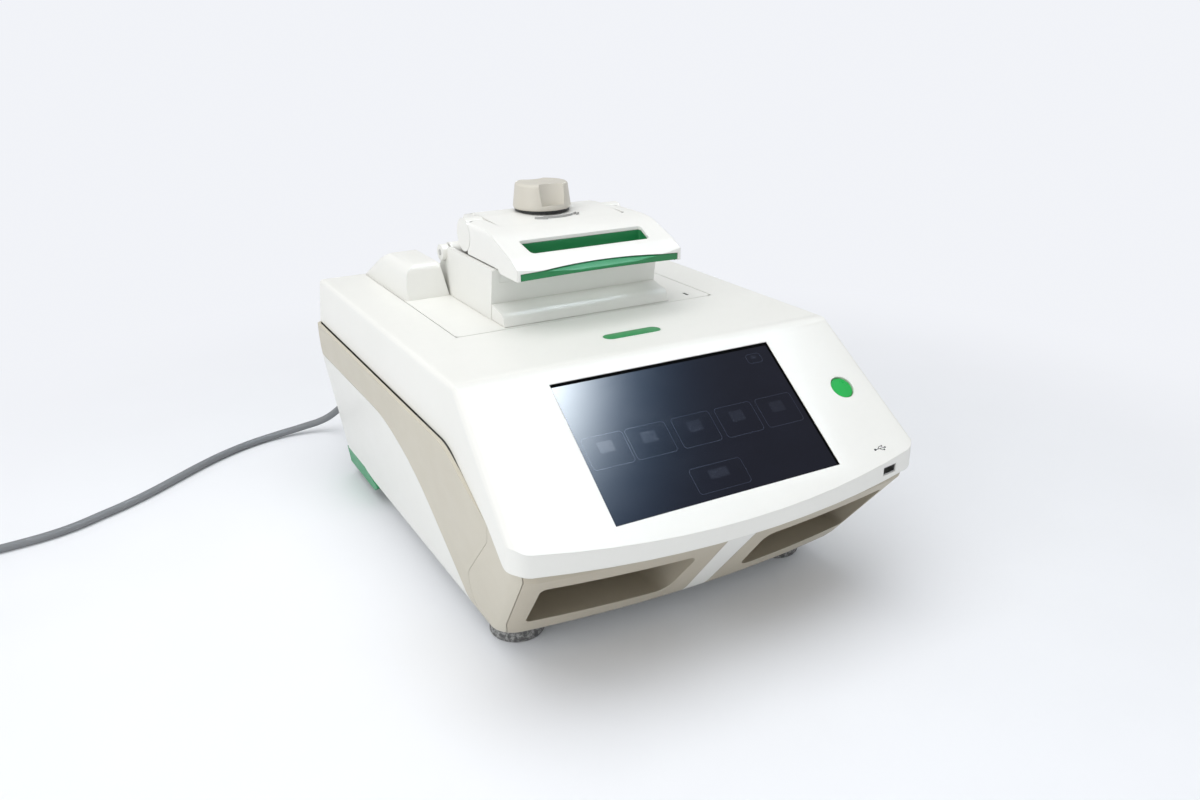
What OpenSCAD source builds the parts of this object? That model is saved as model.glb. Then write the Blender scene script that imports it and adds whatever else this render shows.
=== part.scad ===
// Bench-top thermal cycler: a wedge-fronted chassis with a touch screen, and a lift-out block
// module under a hinged, heated lid. Millimetres, +X to the right, +Y to the rear, +Z up.
// The origin is on the bench, under the middle of the chassis.

/* [Chassis] */
// Overall width across the side strips
body_w = 340; // [328:1:352]
// Overall depth, nose to rear face
body_d = 460; // [450:1:490]
// Height of the flat deck above the bench
deck_h = 203; // [198:1:212]
// Wall of the moulded shells
wall = 3; // [2.4:0.1:3.6]
// Slope of the screen panel, in degrees
panel_slope = 36.5; // [34:0.5:39]
// Height of the nose edge, where the screen panel ends
nose_h = 115; // [111:1:119]
// Height of the lip under the nose edge
lip_h = 12.5; // [10:0.5:15]
// Radius of the bow of the front, seen from above
front_bow_r = 896; // [700:1:1400]
// Radius of the front corners, seen from above
corner_r = 18; // [14:1:22]
// Slope of the chin under the lip, in degrees from vertical
chin_angle = 39; // [37:0.5:41]
// How far the sides lean in at the floor
side_lean = 18.5; // [14:0.5:20]
// How far the sides of the upper housing lean out below the deck
side_flare = 7.5; // [5:0.5:9]
// Seam between neighbouring mouldings
seam = 0.4; // [0.3:0.1:0.8]

/* [Feet] */
// Clear height under the chassis
foot_h = 18; // [16:1:22]
// Diameter of a foot
foot_d = 42; // [34:1:46]
// Distance from the middle to the front feet, across
front_foot_x = 122; // [112:1:126]
// Distance from the middle to the rear feet, across
rear_foot_x = 122; // [110:1:124]

/* [Screen] */
// Width of the touch glass
glass_w = 188; // [170:1:196]
// Height of the touch glass, along the slope
glass_h = 114; // [100:1:116]
// Distance from the top bend to the glass, along the slope
glass_drop = 12.5; // [11:0.5:16]
// Thickness of the touch glass
glass_t = 2.5; // [1.8:0.1:3]
// Width of the shallow slope around the screen
surround_w = 11; // [6:1:13]
// Depth of that slope at the glass
surround_deep = 1.6; // [1:0.1:2]

/* [Power button] */
// Diameter of the button
button_d = 19; // [15:0.5:22]
// Place of the button across
button_x = 135; // [130:1:138]
// Place of the button down the slope
button_drop = 66.5; // [50:0.5:90]
// Travel of the button
button_travel = 1.2; // [0.8:0.1:1.6]

/* [Block module] */
// Width of the module's cover plate
module_w = 237.4; // [230:0.2:242]
// Distance from the middle of the chassis to the front of the cover plate
module_front = -10; // [-14:1:-6]
// Thickness of the cover plate
cover_t = 3; // [2.4:0.1:3.4]
// Gap round the cover plate
cover_gap = 0.8; // [0.5:0.1:1.2]
// Width of the block housing
tower_w = 154; // [152:1:157]
// Height of the block housing above the deck
tower_h = 43; // [41:0.5:44]
// Width of a hinge cover
hump_w = 40; // [34:0.5:40.5]
// Height of a hinge cover above the deck
hump_h = 30; // [24:1:34]

/* [Sample block] */
// Wells across
well_cols = 12; // [6:1:12]
// Wells deep
well_rows = 8; // [4:1:8]
// Distance between wells
well_pitch = 9; // [8.8:0.1:9.1]
// Diameter of a well at its mouth
well_d = 6.2; // [5:0.1:6.6]
// Depth of a well
well_deep = 13; // [10:0.5:14]
// Middle of the block, front to back
block_y = 64; // [62:1:66]

/* [Lid] */
// Distance from the middle of the chassis to the hinge pin
hinge_y = 118; // [116:1:120]
// Height of the hinge pin above the bench
hinge_z = 240; // [238:0.5:242]
// Diameter of the hinge pin
hinge_pin_d = 5; // [4:0.1:6]
// Running clearance of a pin in its bore, on the radius
run_gap = 0.06; // [0.02:0.01:0.1]
// Width of the lid and its lever
lid_w = 148; // [144:1:150]
// Width of the top cover between the lever's shoulders
cover_w = 114.8; // [108:0.2:118]
// Distance from the middle of the chassis to the lever's pivot
pivot_y = 78; // [76:1:82]
// Height of the lever's pivot above the bench
pivot_z = 262; // [261:0.5:263]
// Radius of the round ends at the lever's pivot
pivot_r = 14; // [12:0.5:14.5]
// Length of the finger slot, across
slot_w = 111.6; // [96:0.2:113]
// Width of the finger slot, front to back
slot_d = 19; // [16:0.5:20]

/* [Knob] */
// Diameter of the knob at its base
knob_d = 50; // [42:1:54]
// Height of the knob
knob_h = 21.5; // [18:0.5:24]
// Travel of the heater plate for half a turn of the knob
plate_travel = 5; // [3:0.5:5]

/* [Cooling] */
// Width of a fan frame
fan_w = 80; // [70:1:84]
// Depth of a fan frame
fan_t = 25; // [20:1:28]
// Number of blades on a rotor
fan_blades = 7; // [5:1:9]
// Number of fins on the heat sink
fin_count = 26; // [16:1:30]

/* [Power cord] */
// Diameter of the cord
cord_d = 7.5; // [7:0.1:8.2]
// Mid-line diameter of the stored coil
coil_d = 89.4; // [78:0.2:96]

/* [Hidden] */

$fn = 64;
arc_steps = 8;
far = 900;

strip_proud = 1;
deck_half = body_w / 2 - side_flare - strip_proud;
front_y = -body_d / 2;
rear_y = body_d / 2;
bend_y = front_y + (deck_h - nose_h) / tan(panel_slope);
deck_edge_r = 5;
panel_edge_r = 6;
upper_corner_r = corner_r - 3;
rear_corner_r = 8;
flare_low = 128;
flare_rate = side_flare / (deck_h - flare_low);
flare_turn = atan(flare_rate * sin(panel_slope));
chin_set = 3.5;
lip_low = nose_h - lip_h;
lean_top = 140;
lean = atan(side_lean / (lean_top - foot_h));
lean_blend = 15;
lower_edge_r = 9;
knee_r = 42;

skirt_low = 162.5;
skirt_bend_y = front_y + 125;
skirt_knee_y = front_y + 52;
skirt_knee_z = skirt_low - 32.5;
skirt_corner_y = front_y + 30;
skirt_corner_z = lip_low + 9;
strip_low = foot_h + 113.5;
strip_bend_y = front_y + 227;
strip_bend_r = 138;
strip_floor_y = front_y + 137;
cap_rear_y = front_y + 127;

rim_h = 5;
rear_rise = 12;
rim_z = foot_h + rim_h;
bezel_half = body_w / 2 - 14.4;
divider_half = 10;
divider_flare = 3;
divider_top = lip_low + 20;

duct_out = bezel_half - 9.6;
duct_in = divider_half + 19;
duct_top = lip_low - 11;
duct_low = foot_h + 27;
duct_back = front_y + 135;
duct_wall = 2.5;
bezel_back = front_y + 90;

skirt_front = rear_y - 91;
skirt_rise_y = skirt_front + 29;
skirt_half = body_w / 2 - side_lean;
skirt_base = 9;

glass_mid = glass_drop + glass_h / 2;
glass_sink = surround_deep + 0.2;
gasket_t = 1;
gasket_w = 5;
lcd_t = 9;
button_sink = 1;
button_t = 7;
button_ceiling = -4;
button_board_z = -11.2 - button_travel;
button_stem = button_board_z + 2.2 + button_travel + 0.3;
button_gap = 0.35;

bay_half = 110;
bay_front = module_front + 5;
bay_low = foot_h + 27;
flange_w = 12;
tray_t = 2;
tray_rear = rear_y - 9;
fit_gap = 0.3;

plate_low = deck_h - cover_t;
module_half = module_w / 2;
module_rear = rear_y - 1;
tower_half = tower_w / 2;
tower_wall = 3.5;
tower_front = module_front + 30;
tower_overhang = 7;
tower_rear = hinge_y + 13;
tower_top = deck_h + tower_h;
apron_front = module_front + 3;
apron_h = 13.5;
apron_half = tower_half - 0.5;

block_w = (well_cols - 1) * well_pitch + 17;
block_d = (well_rows - 1) * well_pitch + 17;
block_top = deck_h + 24;
block_h = 26;
peltier_t = 4;
sink_top = block_top - block_h - peltier_t - 0.4;
sink_base_t = 9;
sink_w = 206;
sink_d = 132;
fin_h = 118;
fin_t = 1.6;

lid_half = lid_w / 2;
lid_low = tower_top + 1.5;
shell_gap = 1;
lid_top = pivot_z + pivot_r;
lid_inner = lid_half - 4;
lever_skin = 2.8;
lever_front = -35;
lever_bow_r = 405;
lever_crown_r = 518;
lever_low = lid_low - 0.5;
nose_low = lever_low - 3;
lever_swing = 28;
arm_r = 8;
arch_r = 788;
arch_top = lever_low + 6.2;
grip_arch_r = 912;
grip_low = lever_low;
grip_floor = nose_low + 3.4;
slot_mid_y = -3;
slot_taper = 2.4;
cover_front = 37.5;
lid_front = 17.5;
lid_back_half = cover_w / 2 + 2.2;
knuckle_r = 8;
knob_y = pivot_y;
knob_base = lid_top + 2.5;
heater_w = block_w - 4;
heater_d = block_d - 4;
heater_t = 9;
heater_top = lid_low + 2;

inlet_x = -124;
inlet_z = foot_h + 40;
rocker_z = inlet_z + 42;
psu_w = 36;
psu_h = 96;
psu_front = 20;
psu_vents = 14;
fan_x = 54;
fan_z = foot_h + 70;
fan_y = bay_front - fan_t - 0.3;

// Cord route, from the connector to the coil, chosen by hand
cord_points = [
  [-124, 290.5, 58], [-124, 306, 54], [-126, 322, 42], [-133, 336, 27.5], [-147, 347, 15],
  [-169, 353.5, 8.5], [-197, 354, 5], [-228, 346, 4], [-258, 331, 4], [-285, 313, 4],
  [-312, 292, 4], [-338, 272, 4], [-362, 256, 4], [-384, 244, 4], [-405, 233, 4],
  [-426, 226, 4], [-450, 222, 4], [-475, 220, 4], [-500, 220, 4], [-526, 222, 4]
];
coil_x = -562;
coil_y = 172.8;
plug_x = -557.4;
plug_y = 92.5;

function unit(v) = v / norm(v);

// Corners given as [x, y, radius] turned into outline points
function rounded(c, n = arc_steps) = [
  for (i = [0 : len(c) - 1])
    let (
      p = [c[i][0], c[i][1]],
      before = c[(i + len(c) - 1) % len(c)],
      after = c[(i + 1) % len(c)],
      a = unit([before[0], before[1]] - p),
      b = unit([after[0], after[1]] - p),
      half = acos(a * b) / 2,
      r = c[i][2],
      mid = p + unit(a + b) * r / sin(half),
      s = p + a * r / tan(half) - mid,
      e = p + b * r / tan(half) - mid,
      sweep = atan2(s[0] * e[1] - s[1] * e[0], s * e),
      from = atan2(s[1], s[0])
    )
    each r == 0 ? [p] : [
      for (k = [0 : n]) mid + r * [cos(from + sweep * k / n), sin(from + sweep * k / n)]
    ]
];

function box_corners(x0, y0, x1, y1, r) = [[x0, y0, r], [x1, y0, r], [x1, y1, r], [x0, y1, r]];

// Prism along X, from an outline in Y and Z
module along_x(x0, x1) {
  translate([x0, 0, 0]) rotate([90, 0, 90]) linear_extrude(x1 - x0) children();
}

// Prism along Y, from an outline in X and Z
module along_y(y0, y1) {
  translate([0, y1, 0]) rotate([90, 0, 0]) linear_extrude(y1 - y0) children();
}

// Prism along Z, from an outline in X and Y
module along_z(z0, z1) {
  translate([0, 0, z0]) linear_extrude(z1 - z0) children();
}

module box(a, b) {
  translate(a) cube(b - a);
}

module pin_x(x0, x1, y, z, d) {
  translate([x0, y, z]) rotate([0, 90, 0]) cylinder(d = d, h = x1 - x0);
}

module both_sides() {
  children();
  mirror([1, 0, 0]) children();
}

// Frame of the sloping screen panel: +Z is its outward normal, -Y runs down the slope
module on_panel() {
  translate([0, bend_y, deck_h]) rotate([panel_slope, 0, 0]) children();
}

function bow_centre() = front_y + front_bow_r;

function arc_points(centre, r, from, to, n) =
  [for (k = [0 : n]) let (a = from + (to - from) * k / n) centre + r * [cos(a), sin(a)]];

// Chassis outline seen from above, with straight sides, a bowed front and round corners:
// half width, front, rear and the radii of its front and rear corners
function plan_outline(w, front, rear, r_front, r_rear) =
  let (
    mid = front + front_bow_r,
    cx = w - r_front,
    cy = mid - sqrt(pow(front_bow_r - r_front, 2) - cx * cx),
    turn = atan2(cx, mid - cy)
  )
  concat(
    arc_points([w - r_rear, rear - r_rear], r_rear, 0, 90, 3),
    arc_points([r_rear - w, rear - r_rear], r_rear, 90, 180, 3),
    arc_points([-cx, cy], r_front, 180, 270 - turn, arc_steps),
    [for (k = [1 : 11]) [0, mid] + front_bow_r * [cos(270 - turn + turn * k / 6),
      sin(270 - turn + turn * k / 6)]],
    arc_points([cx, cy], r_front, 270 + turn, 360, arc_steps)
  );

function slope_z(y) = deck_h - (bend_y - y) * tan(panel_slope);

// Lower edge of the skirt in side view, from the nose to the rear; drop lowers it
function skirt_edge(drop) = [
  [front_y - 20, lip_low - 9 - drop, 0],
  [front_y + 18, skirt_corner_z - 0.5 - drop, 8],
  [skirt_corner_y, skirt_corner_z - drop, 12],
  [skirt_knee_y, skirt_knee_z - drop, 40],
  [skirt_bend_y, skirt_low - 2 - drop, 60]
];

// Side outline of the upper housing
module upper_side(inset, drop) {
  polygon(rounded(concat(
    [
      [rear_y - inset, deck_h - inset, deck_edge_r],
      [bend_y - inset / 3, deck_h - inset, 30],
      [front_y - 20, slope_z(front_y - 20) - inset / cos(panel_slope), 0]
    ],
    skirt_edge(drop),
    [[rear_y - inset, skirt_low - drop, 0]]
  )));
}

// Everything above the skirt's lower edge, and a seam below it
module above_skirt() {
  along_x(-far, far) polygon(rounded(concat(
    [[rear_y + 20, far, 0], [front_y - 20, far, 0]],
    skirt_edge(seam),
    [[rear_y + 20, skirt_low - seam, 0]]
  )));
}

module upper_form(inset, drop) {
  w = deck_half - inset;
  low_w = w + side_flare;
  intersection() {
    along_x(-far, far) upper_side(inset, drop);
    along_z(0, far) polygon(plan_outline(
      low_w, front_y + inset, rear_y - inset, upper_corner_r - inset, rear_corner_r));
    along_y(-far, far) polygon(rounded([
      [-low_w, 0, 0], [low_w, 0, 0], [low_w, flare_low, 0], [w, deck_h - inset, deck_edge_r],
      [-w, deck_h - inset, deck_edge_r], [-low_w, flare_low, 0]
    ]));
  }
}

// Takes the sharp edge off one side of the screen panel
module panel_edge() {
  r = panel_edge_r;
  k = flare_rate * cos(panel_slope);
  centre = [-r * (1 - k) + 0.03, -r + 0.03];
  on_panel() translate([deck_half, 0, 0]) rotate([0, 0, flare_turn]) along_y(-170, 5) polygon(concat(
    arc_points(centre, r, atan(k), 90, 6), [[centre[0], 2], [3, 2], [3, -r - 1]]));
}

// Heights of the sections that the lower body is lofted through
function loft_heights(inset) = concat(
  [for (turn = [90, 74, 62, 50, chin_angle]) foot_h + inset + knee_r * (1 - sin(turn))],
  [60, lip_low, lean_top - lean_blend, lean_top, lean_top + lean_blend, skirt_low]
);

// How far a side leans in at one height, with a soft start
function side_in(z) =
  let (d = lean_top - z)
  tan(lean) * (d < -lean_blend ? 0 : d < lean_blend ? pow(d + lean_blend, 2) / (4 * lean_blend) : d);

// How far a round lower edge draws in at one height
function edge_in(z, low, r) = z > low + r ? 0 : r - sqrt(max(0, r * r - pow(r - (z - low), 2)));

// Front of the lower body at one height: the chin, then a knee into the floor
function chin_front(z, low, inset) =
  let (
    line = front_y + chin_set + inset / cos(chin_angle) + max(0, lip_low - z) * tan(chin_angle),
    knee_top = low + knee_r * (1 - sin(chin_angle)),
    knee_y = front_y + chin_set + inset / cos(chin_angle)
      + (lip_low - low - knee_r) * tan(chin_angle) + knee_r / cos(chin_angle),
    turn = asin(min(1, 1 - (z - low) / knee_r))
  )
  z >= knee_top ? line : knee_y - knee_r * cos(turn);

function section(z, inset) =
  let (
    low = foot_h + inset,
    w = body_w / 2 - inset - side_in(z) - edge_in(z, low, lower_edge_r)
  )
  [for (p = plan_outline(w, chin_front(z, low, inset), rear_y - inset, corner_r - inset,
    rear_corner_r - inset))
    [p[0], p[1], z]];

// Solid between two sections
module band(low, high) {
  n = len(low);
  hull() polyhedron(concat(low, high), concat(
    [[for (k = [0 : n - 1]) k], [for (k = [n - 1 : -1 : 0]) n + k]],
    [for (k = [0 : n - 1]) [k, n + k, n + (k + 1) % n, (k + 1) % n]]
  ));
}

// Outer form of everything below the upper housing, lofted from section to section
module lower_form(inset) {
  z = loft_heights(inset);
  for (i = [0 : len(z) - 2]) band(section(z[i], inset), section(z[i + 1], inset));
}

module lower_skin() {
  difference() {
    lower_form(0);
    lower_form(wall);
  }
}

// Side view of the region above the strip's lower edge
module strip_region(drop) {
  along_x(-far, far) polygon(rounded([
    [rear_y + 20, strip_low - drop, 0],
    [strip_bend_y, strip_low - drop, strip_bend_r],
    [strip_floor_y, rim_z - drop, 0],
    [front_y - 20, rim_z - drop, 0],
    [front_y - 20, far, 0],
    [rear_y + 20, far, 0]
  ]));
}

// Side view of the corner cap, with a rounded rear edge
module cap_region(grow) {
  along_x(-far, far) polygon(rounded([
    [front_y - 20, rim_z - grow, 0],
    [cap_rear_y + grow, rim_z - grow, 18],
    [cap_rear_y + grow, foot_h + 36.5, 28],
    [front_y + 62 + grow, lip_low + 11.5, 0],
    [front_y + 40, lip_low + 60, 0],
    [front_y - 20, lip_low + 60, 0]
  ]));
}

// Half width of the divider between the intakes at one height
function divider_at(z) = divider_half + divider_flare * (z - rim_z) / (divider_top - rim_z);

// Front view of the region of one intake bezel, left side
module bezel_region(grow) {
  along_y(-far, bezel_back) polygon([
    [-bezel_half - 6.3 - grow, divider_top],
    [-bezel_half + 4.6 - grow, foot_h + 22],
    [-bezel_half + 9.8 - grow, rim_z - grow],
    [-divider_at(rim_z - grow) + grow, rim_z - grow],
    [-divider_at(divider_top) + grow, divider_top]
  ]);
}

module duct_outline(grow) {
  polygon(rounded([
    [-duct_out - grow, duct_top + grow, 4],
    [-duct_out + 4 - grow, duct_low - grow, 5],
    [-duct_in - 3 + grow, duct_low - 3 - grow, 10],
    [-duct_in + grow, duct_top - 5 + grow, 8]
  ]));
}

module upper_housing() {
  color("whitesmoke") difference() {
    union() {
      difference() {
        upper_form(0, 0);
        upper_form(wall, 20);
      }
      // Thicker frame under the screen panel
      intersection() {
        upper_form(0.5, 0);
        on_panel() box([-glass_w / 2 - 14, -glass_drop - glass_h - 9, -9], [glass_w / 2 + 14, -3, 0]);
      }
      // Boss that guides the power button
      intersection() {
        upper_form(0.5, 0);
        on_panel() translate([button_x, -button_drop, -10]) cylinder(d = button_d + 6, h = 10);
      }
    }
    // Bay of the module
    box([-module_half - cover_gap, module_front - cover_gap, deck_h - wall - 1],
      [module_half + cover_gap, rear_y + 1, deck_h + 1]);
    rear_opening();
    // Sloping surround of the screen and the seat of the glass
    on_panel() {
      screen_recess();
      screen_hole(glass_w + 0.6, glass_h + 0.6, -glass_sink - glass_t - gasket_t - 0.12);
      screen_hole(glass_w - 2 * gasket_w, glass_h - 2 * gasket_w, -30);
      translate([button_x, -button_drop, -30]) cylinder(d = button_d + 2 * button_gap, h = 60);
    }
    usb_cut();
    both_sides() panel_edge();
  }
}

module screen_hole(w, h, z0) {
  translate([0, -glass_mid, z0]) linear_extrude(60) square([w, h], center = true);
}

// Shallow tray that falls toward the glass from all four edges
module screen_recess() {
  fall = atan(surround_deep / surround_w);
  x = glass_w / 2 + surround_w;
  y = glass_h / 2 + surround_w;
  translate([0, -glass_mid, 0]) intersection() {
    box([-x, -y, -surround_deep], [x, y, 20]);
    translate([-x, 0, 0]) rotate([0, fall, 0]) box([-1, -far, 0], [far, far, 40]);
    translate([x, 0, 0]) rotate([0, -fall, 0]) box([-far, -far, 0], [1, far, 40]);
    translate([0, -y, 0]) rotate([-fall, 0, 0]) box([-far, -1, 0], [far, far, 40]);
    translate([0, y, 0]) rotate([fall, 0, 0]) box([-far, -far, 0], [far, 1, 40]);
  }
}

usb_x = 137;
usb_z = lip_low + 12.5;
usb_turn = asin(usb_x / front_bow_r);
usb_y = bow_centre() - front_bow_r * cos(usb_turn);

module usb_cut() {
  translate([usb_x, usb_y, usb_z]) rotate([0, 0, usb_turn])
    box([-7.2, -20, -3.4], [7.2, 20, 3.4]);
}

module usb_socket() {
  color("silver") translate([usb_x, usb_y, usb_z]) rotate([0, 0, usb_turn]) difference() {
    box([-6.9, 0.6, -3.1], [6.9, 13, 3.1]);
    box([-6.3, 0, -2.5], [6.3, 10, 2.5]);
  }
}

module base_shell() {
  low_w = divider_at(foot_h) - seam;
  top_w = divider_at(lip_low - seam) - seam;
  floor_z = foot_h + rear_rise;
  color("whitesmoke") difference() {
    union() {
      difference() {
        lower_skin();
        strip_region(seam);
        // Room for the rear skirt
        along_x(-far, far) polygon([
          [skirt_front, 0], [skirt_front, foot_h + 2], [skirt_rise_y, floor_z], [rear_y + 20, floor_z],
            [rear_y + 20, 0]
        ]);
      }
      // Raised floor over the skirt
      intersection() {
        lower_form(1);
        along_x(-far, far) polygon([
          [skirt_front - wall, foot_h + 1.5], [skirt_front, foot_h + 2], [skirt_rise_y, floor_z],
            [rear_y, floor_z],
          [rear_y, floor_z + wall], [skirt_rise_y - 1, floor_z + wall],
            [skirt_front - wall, foot_h + 2 + wall]
        ]);
      }
      // Divider between the intakes
      intersection() {
        lower_skin();
        along_y(-far, bezel_back) polygon([
          [-top_w, lip_low - seam], [-low_w, foot_h], [low_w, foot_h], [top_w, lip_low - seam]
        ]);
      }
    }
    rear_opening();
    for (p = foot_places) translate([p[0], p[1], 0]) cylinder(d = 5, h = far);
  }
}

// Places of the feet and the height of the floor over each
foot_places = [
  [-front_foot_x, front_y + 121, foot_h], [front_foot_x, front_y + 121, foot_h],
  [-rear_foot_x, rear_y - 28, foot_h + rear_rise], [rear_foot_x, rear_y - 28, foot_h + rear_rise]
];

module side_strip() {
  intersection() {
    difference() {
      lower_skin();
      above_skirt();
      cap_region(seam);
      box([-deck_half + 30, -far, 0], [far, far, far]);
      rear_opening();
    }
    strip_region(0);
  }
}

module corner_cap() {
  intersection() {
    difference() {
      lower_skin();
      above_skirt();
      bezel_region(seam);
      box([-deck_half + 30, -far, 0], [far, far, far]);
    }
    cap_region(0);
    strip_region(0);
  }
}

module intake_bezel() {
  difference() {
    union() {
      intersection() {
        lower_skin();
        bezel_region(0);
        strip_region(0);
        cap_region(0);
      }
      intersection() {
        lower_form(0);
        along_y(-far, duct_back) duct_outline(duct_wall);
      }
    }
    along_y(-far, far) duct_outline(0);
    above_skirt();
  }
}

// Outline of the rear panel; grow gives the opening that it closes
module rear_outline(grow) {
  low = foot_h + rear_rise + 3 - grow;
  top = deck_h - wall - 6 + grow;
  narrow = deck_half - 22.5 + grow;
  wide = deck_half - 9 + grow;
  polygon(rounded([
    [-narrow, low, 4], [narrow, low, 4], [wide, skirt_low - 29, 4],
    [wide, top, 4], [-wide, top, 4], [-wide, skirt_low - 29, 4]
  ]));
}

module rear_opening() {
  along_y(rear_y - wall - 1, rear_y + 1) rear_outline(0.3);
}

module rear_panel() {
  y0 = rear_y - 2;
  color("gainsboro") difference() {
    along_y(y0, rear_y) rear_outline(0);
    // Exhaust slots
    for (col = [-1, 1]) for (i = [0 : 11])
      box([col * 50 - 42, y0 - 1, 62 + i * 9], [col * 50 + 42, rear_y + 1, 66 + i * 9]);
    box([inlet_x - 10.2, y0 - 1, inlet_z - 14.2], [inlet_x + 10.2, rear_y + 1, inlet_z + 14.2]);
    box([inlet_x - 7.2, y0 - 1, rocker_z - 10.7], [inlet_x + 7.2, rear_y + 1, rocker_z + 10.7]);
    box([-inlet_x - 7.2, y0 - 1, inlet_z - 16.2], [-inlet_x + 7.2, rear_y + 1, inlet_z + 16.2]);
  }
}

module rear_skirt() {
  back = rear_y - 2;
  start = skirt_front + 0.4;
  top = foot_h + rear_rise - 0.3;
  inner = skirt_half - 5.5;
  color("mediumseagreen") difference() {
    along_y(start, back) polygon(rounded([
      [-skirt_half - 1.5, top, 0], [-skirt_half + 1, skirt_base, 5],
      [skirt_half - 1, skirt_base, 5], [skirt_half + 1.5, top, 0]
    ]));
    along_y(start - 1, back - wall) polygon([[-inner, top + 1], [-inner, 5], [inner, 5], [inner, top + 1]]);
    // Raked front edge, and the rise of the floor behind it
    along_x(-far, far) {
      polygon([[start - 1, foot_h + 1], [start - 1, 5], [start + 24, 5]]);
      polygon([[start - 1, foot_h + 1.7], [skirt_rise_y, top], [skirt_rise_y, top + 5],
        [start - 1, top + 5]]);
    }
  }
}

module feet() {
  color("dimgray") for (p = foot_places) translate([p[0], p[1], 0]) rotate_extrude() polygon([
    [2.6, 5], [8, 5], [8, 0], [foot_d / 2 - 1, 0], [foot_d / 2, 1.5], [foot_d / 2, foot_h - 5],
    [foot_d / 2 - 3, foot_h - 0.3], [8, foot_h - 0.3], [8, p[2] - 0.3], [2.6, p[2] - 0.3]
  ]);
}

module foot_screws() {
  color("silver") for (p = foot_places) translate([p[0], p[1], 0]) {
    translate([0, 0, 1.8]) cylinder(d = 8.5, h = 3);
    translate([0, 0, 1.8]) cylinder(d = 4.6, h = p[2] + wall);
  }
}

// Open-topped well that takes the module, with a flange under the deck
module bay_tray() {
  top = plate_low - fit_gap;
  color("lightgray") difference() {
    union() {
      box([-bay_half, bay_front, bay_low], [bay_half, tray_rear, top]);
      box([-bay_half - flange_w, module_front - flange_w + 2, top - 2.5],
        [bay_half + flange_w, tray_rear, top]);
    }
    box([-bay_half + tray_t, bay_front + tray_t, bay_low + tray_t], [bay_half - tray_t, rear_y, top + 1]);
    for (side = [-1, 1])
      translate([side * fan_x, 0, fan_z]) rotate([90, 0, 0]) cylinder(d = fan_w - 6, h = 80, center = true);
  }
}

module display_gasket() {
  color("black") on_panel() translate([0, -glass_mid,
    -glass_sink - glass_t - gasket_t - 0.1]) linear_extrude(gasket_t)
    difference() {
      square([glass_w, glass_h], center = true);
      square([glass_w - 2 * gasket_w, glass_h - 2 * gasket_w], center = true);
    }
}

module touch_glass() {
  color("midnightblue") on_panel() translate([0, -glass_mid, -glass_sink - glass_t]) linear_extrude(glass_t)
    square([glass_w, glass_h], center = true);
}

module lcd_panel() {
  color("dimgray") on_panel()
    translate([0, -glass_mid, -glass_sink - glass_t - 0.3 - lcd_t]) linear_extrude(lcd_t)
      square([glass_w - 2 * gasket_w - 1, glass_h - 2 * gasket_w - 1], center = true);
}

module main_board() {
  color("seagreen") on_panel() translate([0, -glass_mid, -glass_sink - glass_t - lcd_t - 8]) {
    linear_extrude(1.6) square([170, 96], center = true);
    for (x = [-70, 70]) for (y = [-38, 38]) translate([x, y, 1.6]) cylinder(d = 7, h = 6);
    translate([-22, -12, -5]) cube([44, 26, 5]);
    translate([40, -30, -9]) cube([30, 14, 9]);
  }
}

// Hollow cap with a stem over the switch
module power_button() {
  color("mediumseagreen") on_panel() translate([button_x, -button_drop,
    -button_sink]) rotate_extrude() polygon([
    [0, button_stem], [2, button_stem], [2, button_ceiling], [button_d / 2 - 2, button_ceiling],
    [button_d / 2 - 2, -button_t], [button_d / 2, -button_t], [button_d / 2, -0.8],
    [button_d / 2 - 0.8, 0], [0, 0.2]
  ]);
}

module button_board() {
  color("seagreen") on_panel() translate([button_x, -button_drop, -button_sink + button_board_z]) {
    translate([-13, -16, -1.6]) cube([26, 32, 1.6]);
    translate([-3, -3, 0]) cube([6, 6, 2.2]);
    for (y = [-13.5, 13.5]) translate([0, y, 0]) cylinder(d = 4, h = button_sink - 10.3 - button_board_z);
  }
}

module button_spring() {
  wire = 0.9;
  low = button_board_z + wire / 2 + 0.1;
  high = button_ceiling - button_travel - wire / 2 - 0.3;
  turns = 3.5;
  steps = 42;
  color("silver") on_panel() translate([button_x, -button_drop, -button_sink])
    swept([for (i = [0 : steps]) let (a = 360 * turns * i / steps) [5 * cos(a), 5 * sin(a),
      low + (high - low) * i / steps]], wire, 8);
}

module power_supply() {
  x0 = -bay_half - psu_w;
  top = bay_low + psu_h;
  color("silver") difference() {
    box([x0, psu_front, bay_low + 22], [-bay_half - 0.3, rear_y - 40, top]);
    // Vents
    for (i = [0 : psu_vents - 1]) {
      y = psu_front + 12 + i * 10;
      box([x0 + 6, y, top - 3], [x0 + psu_w - 9, y + 4, top + 1]);
    }
  }
}

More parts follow.
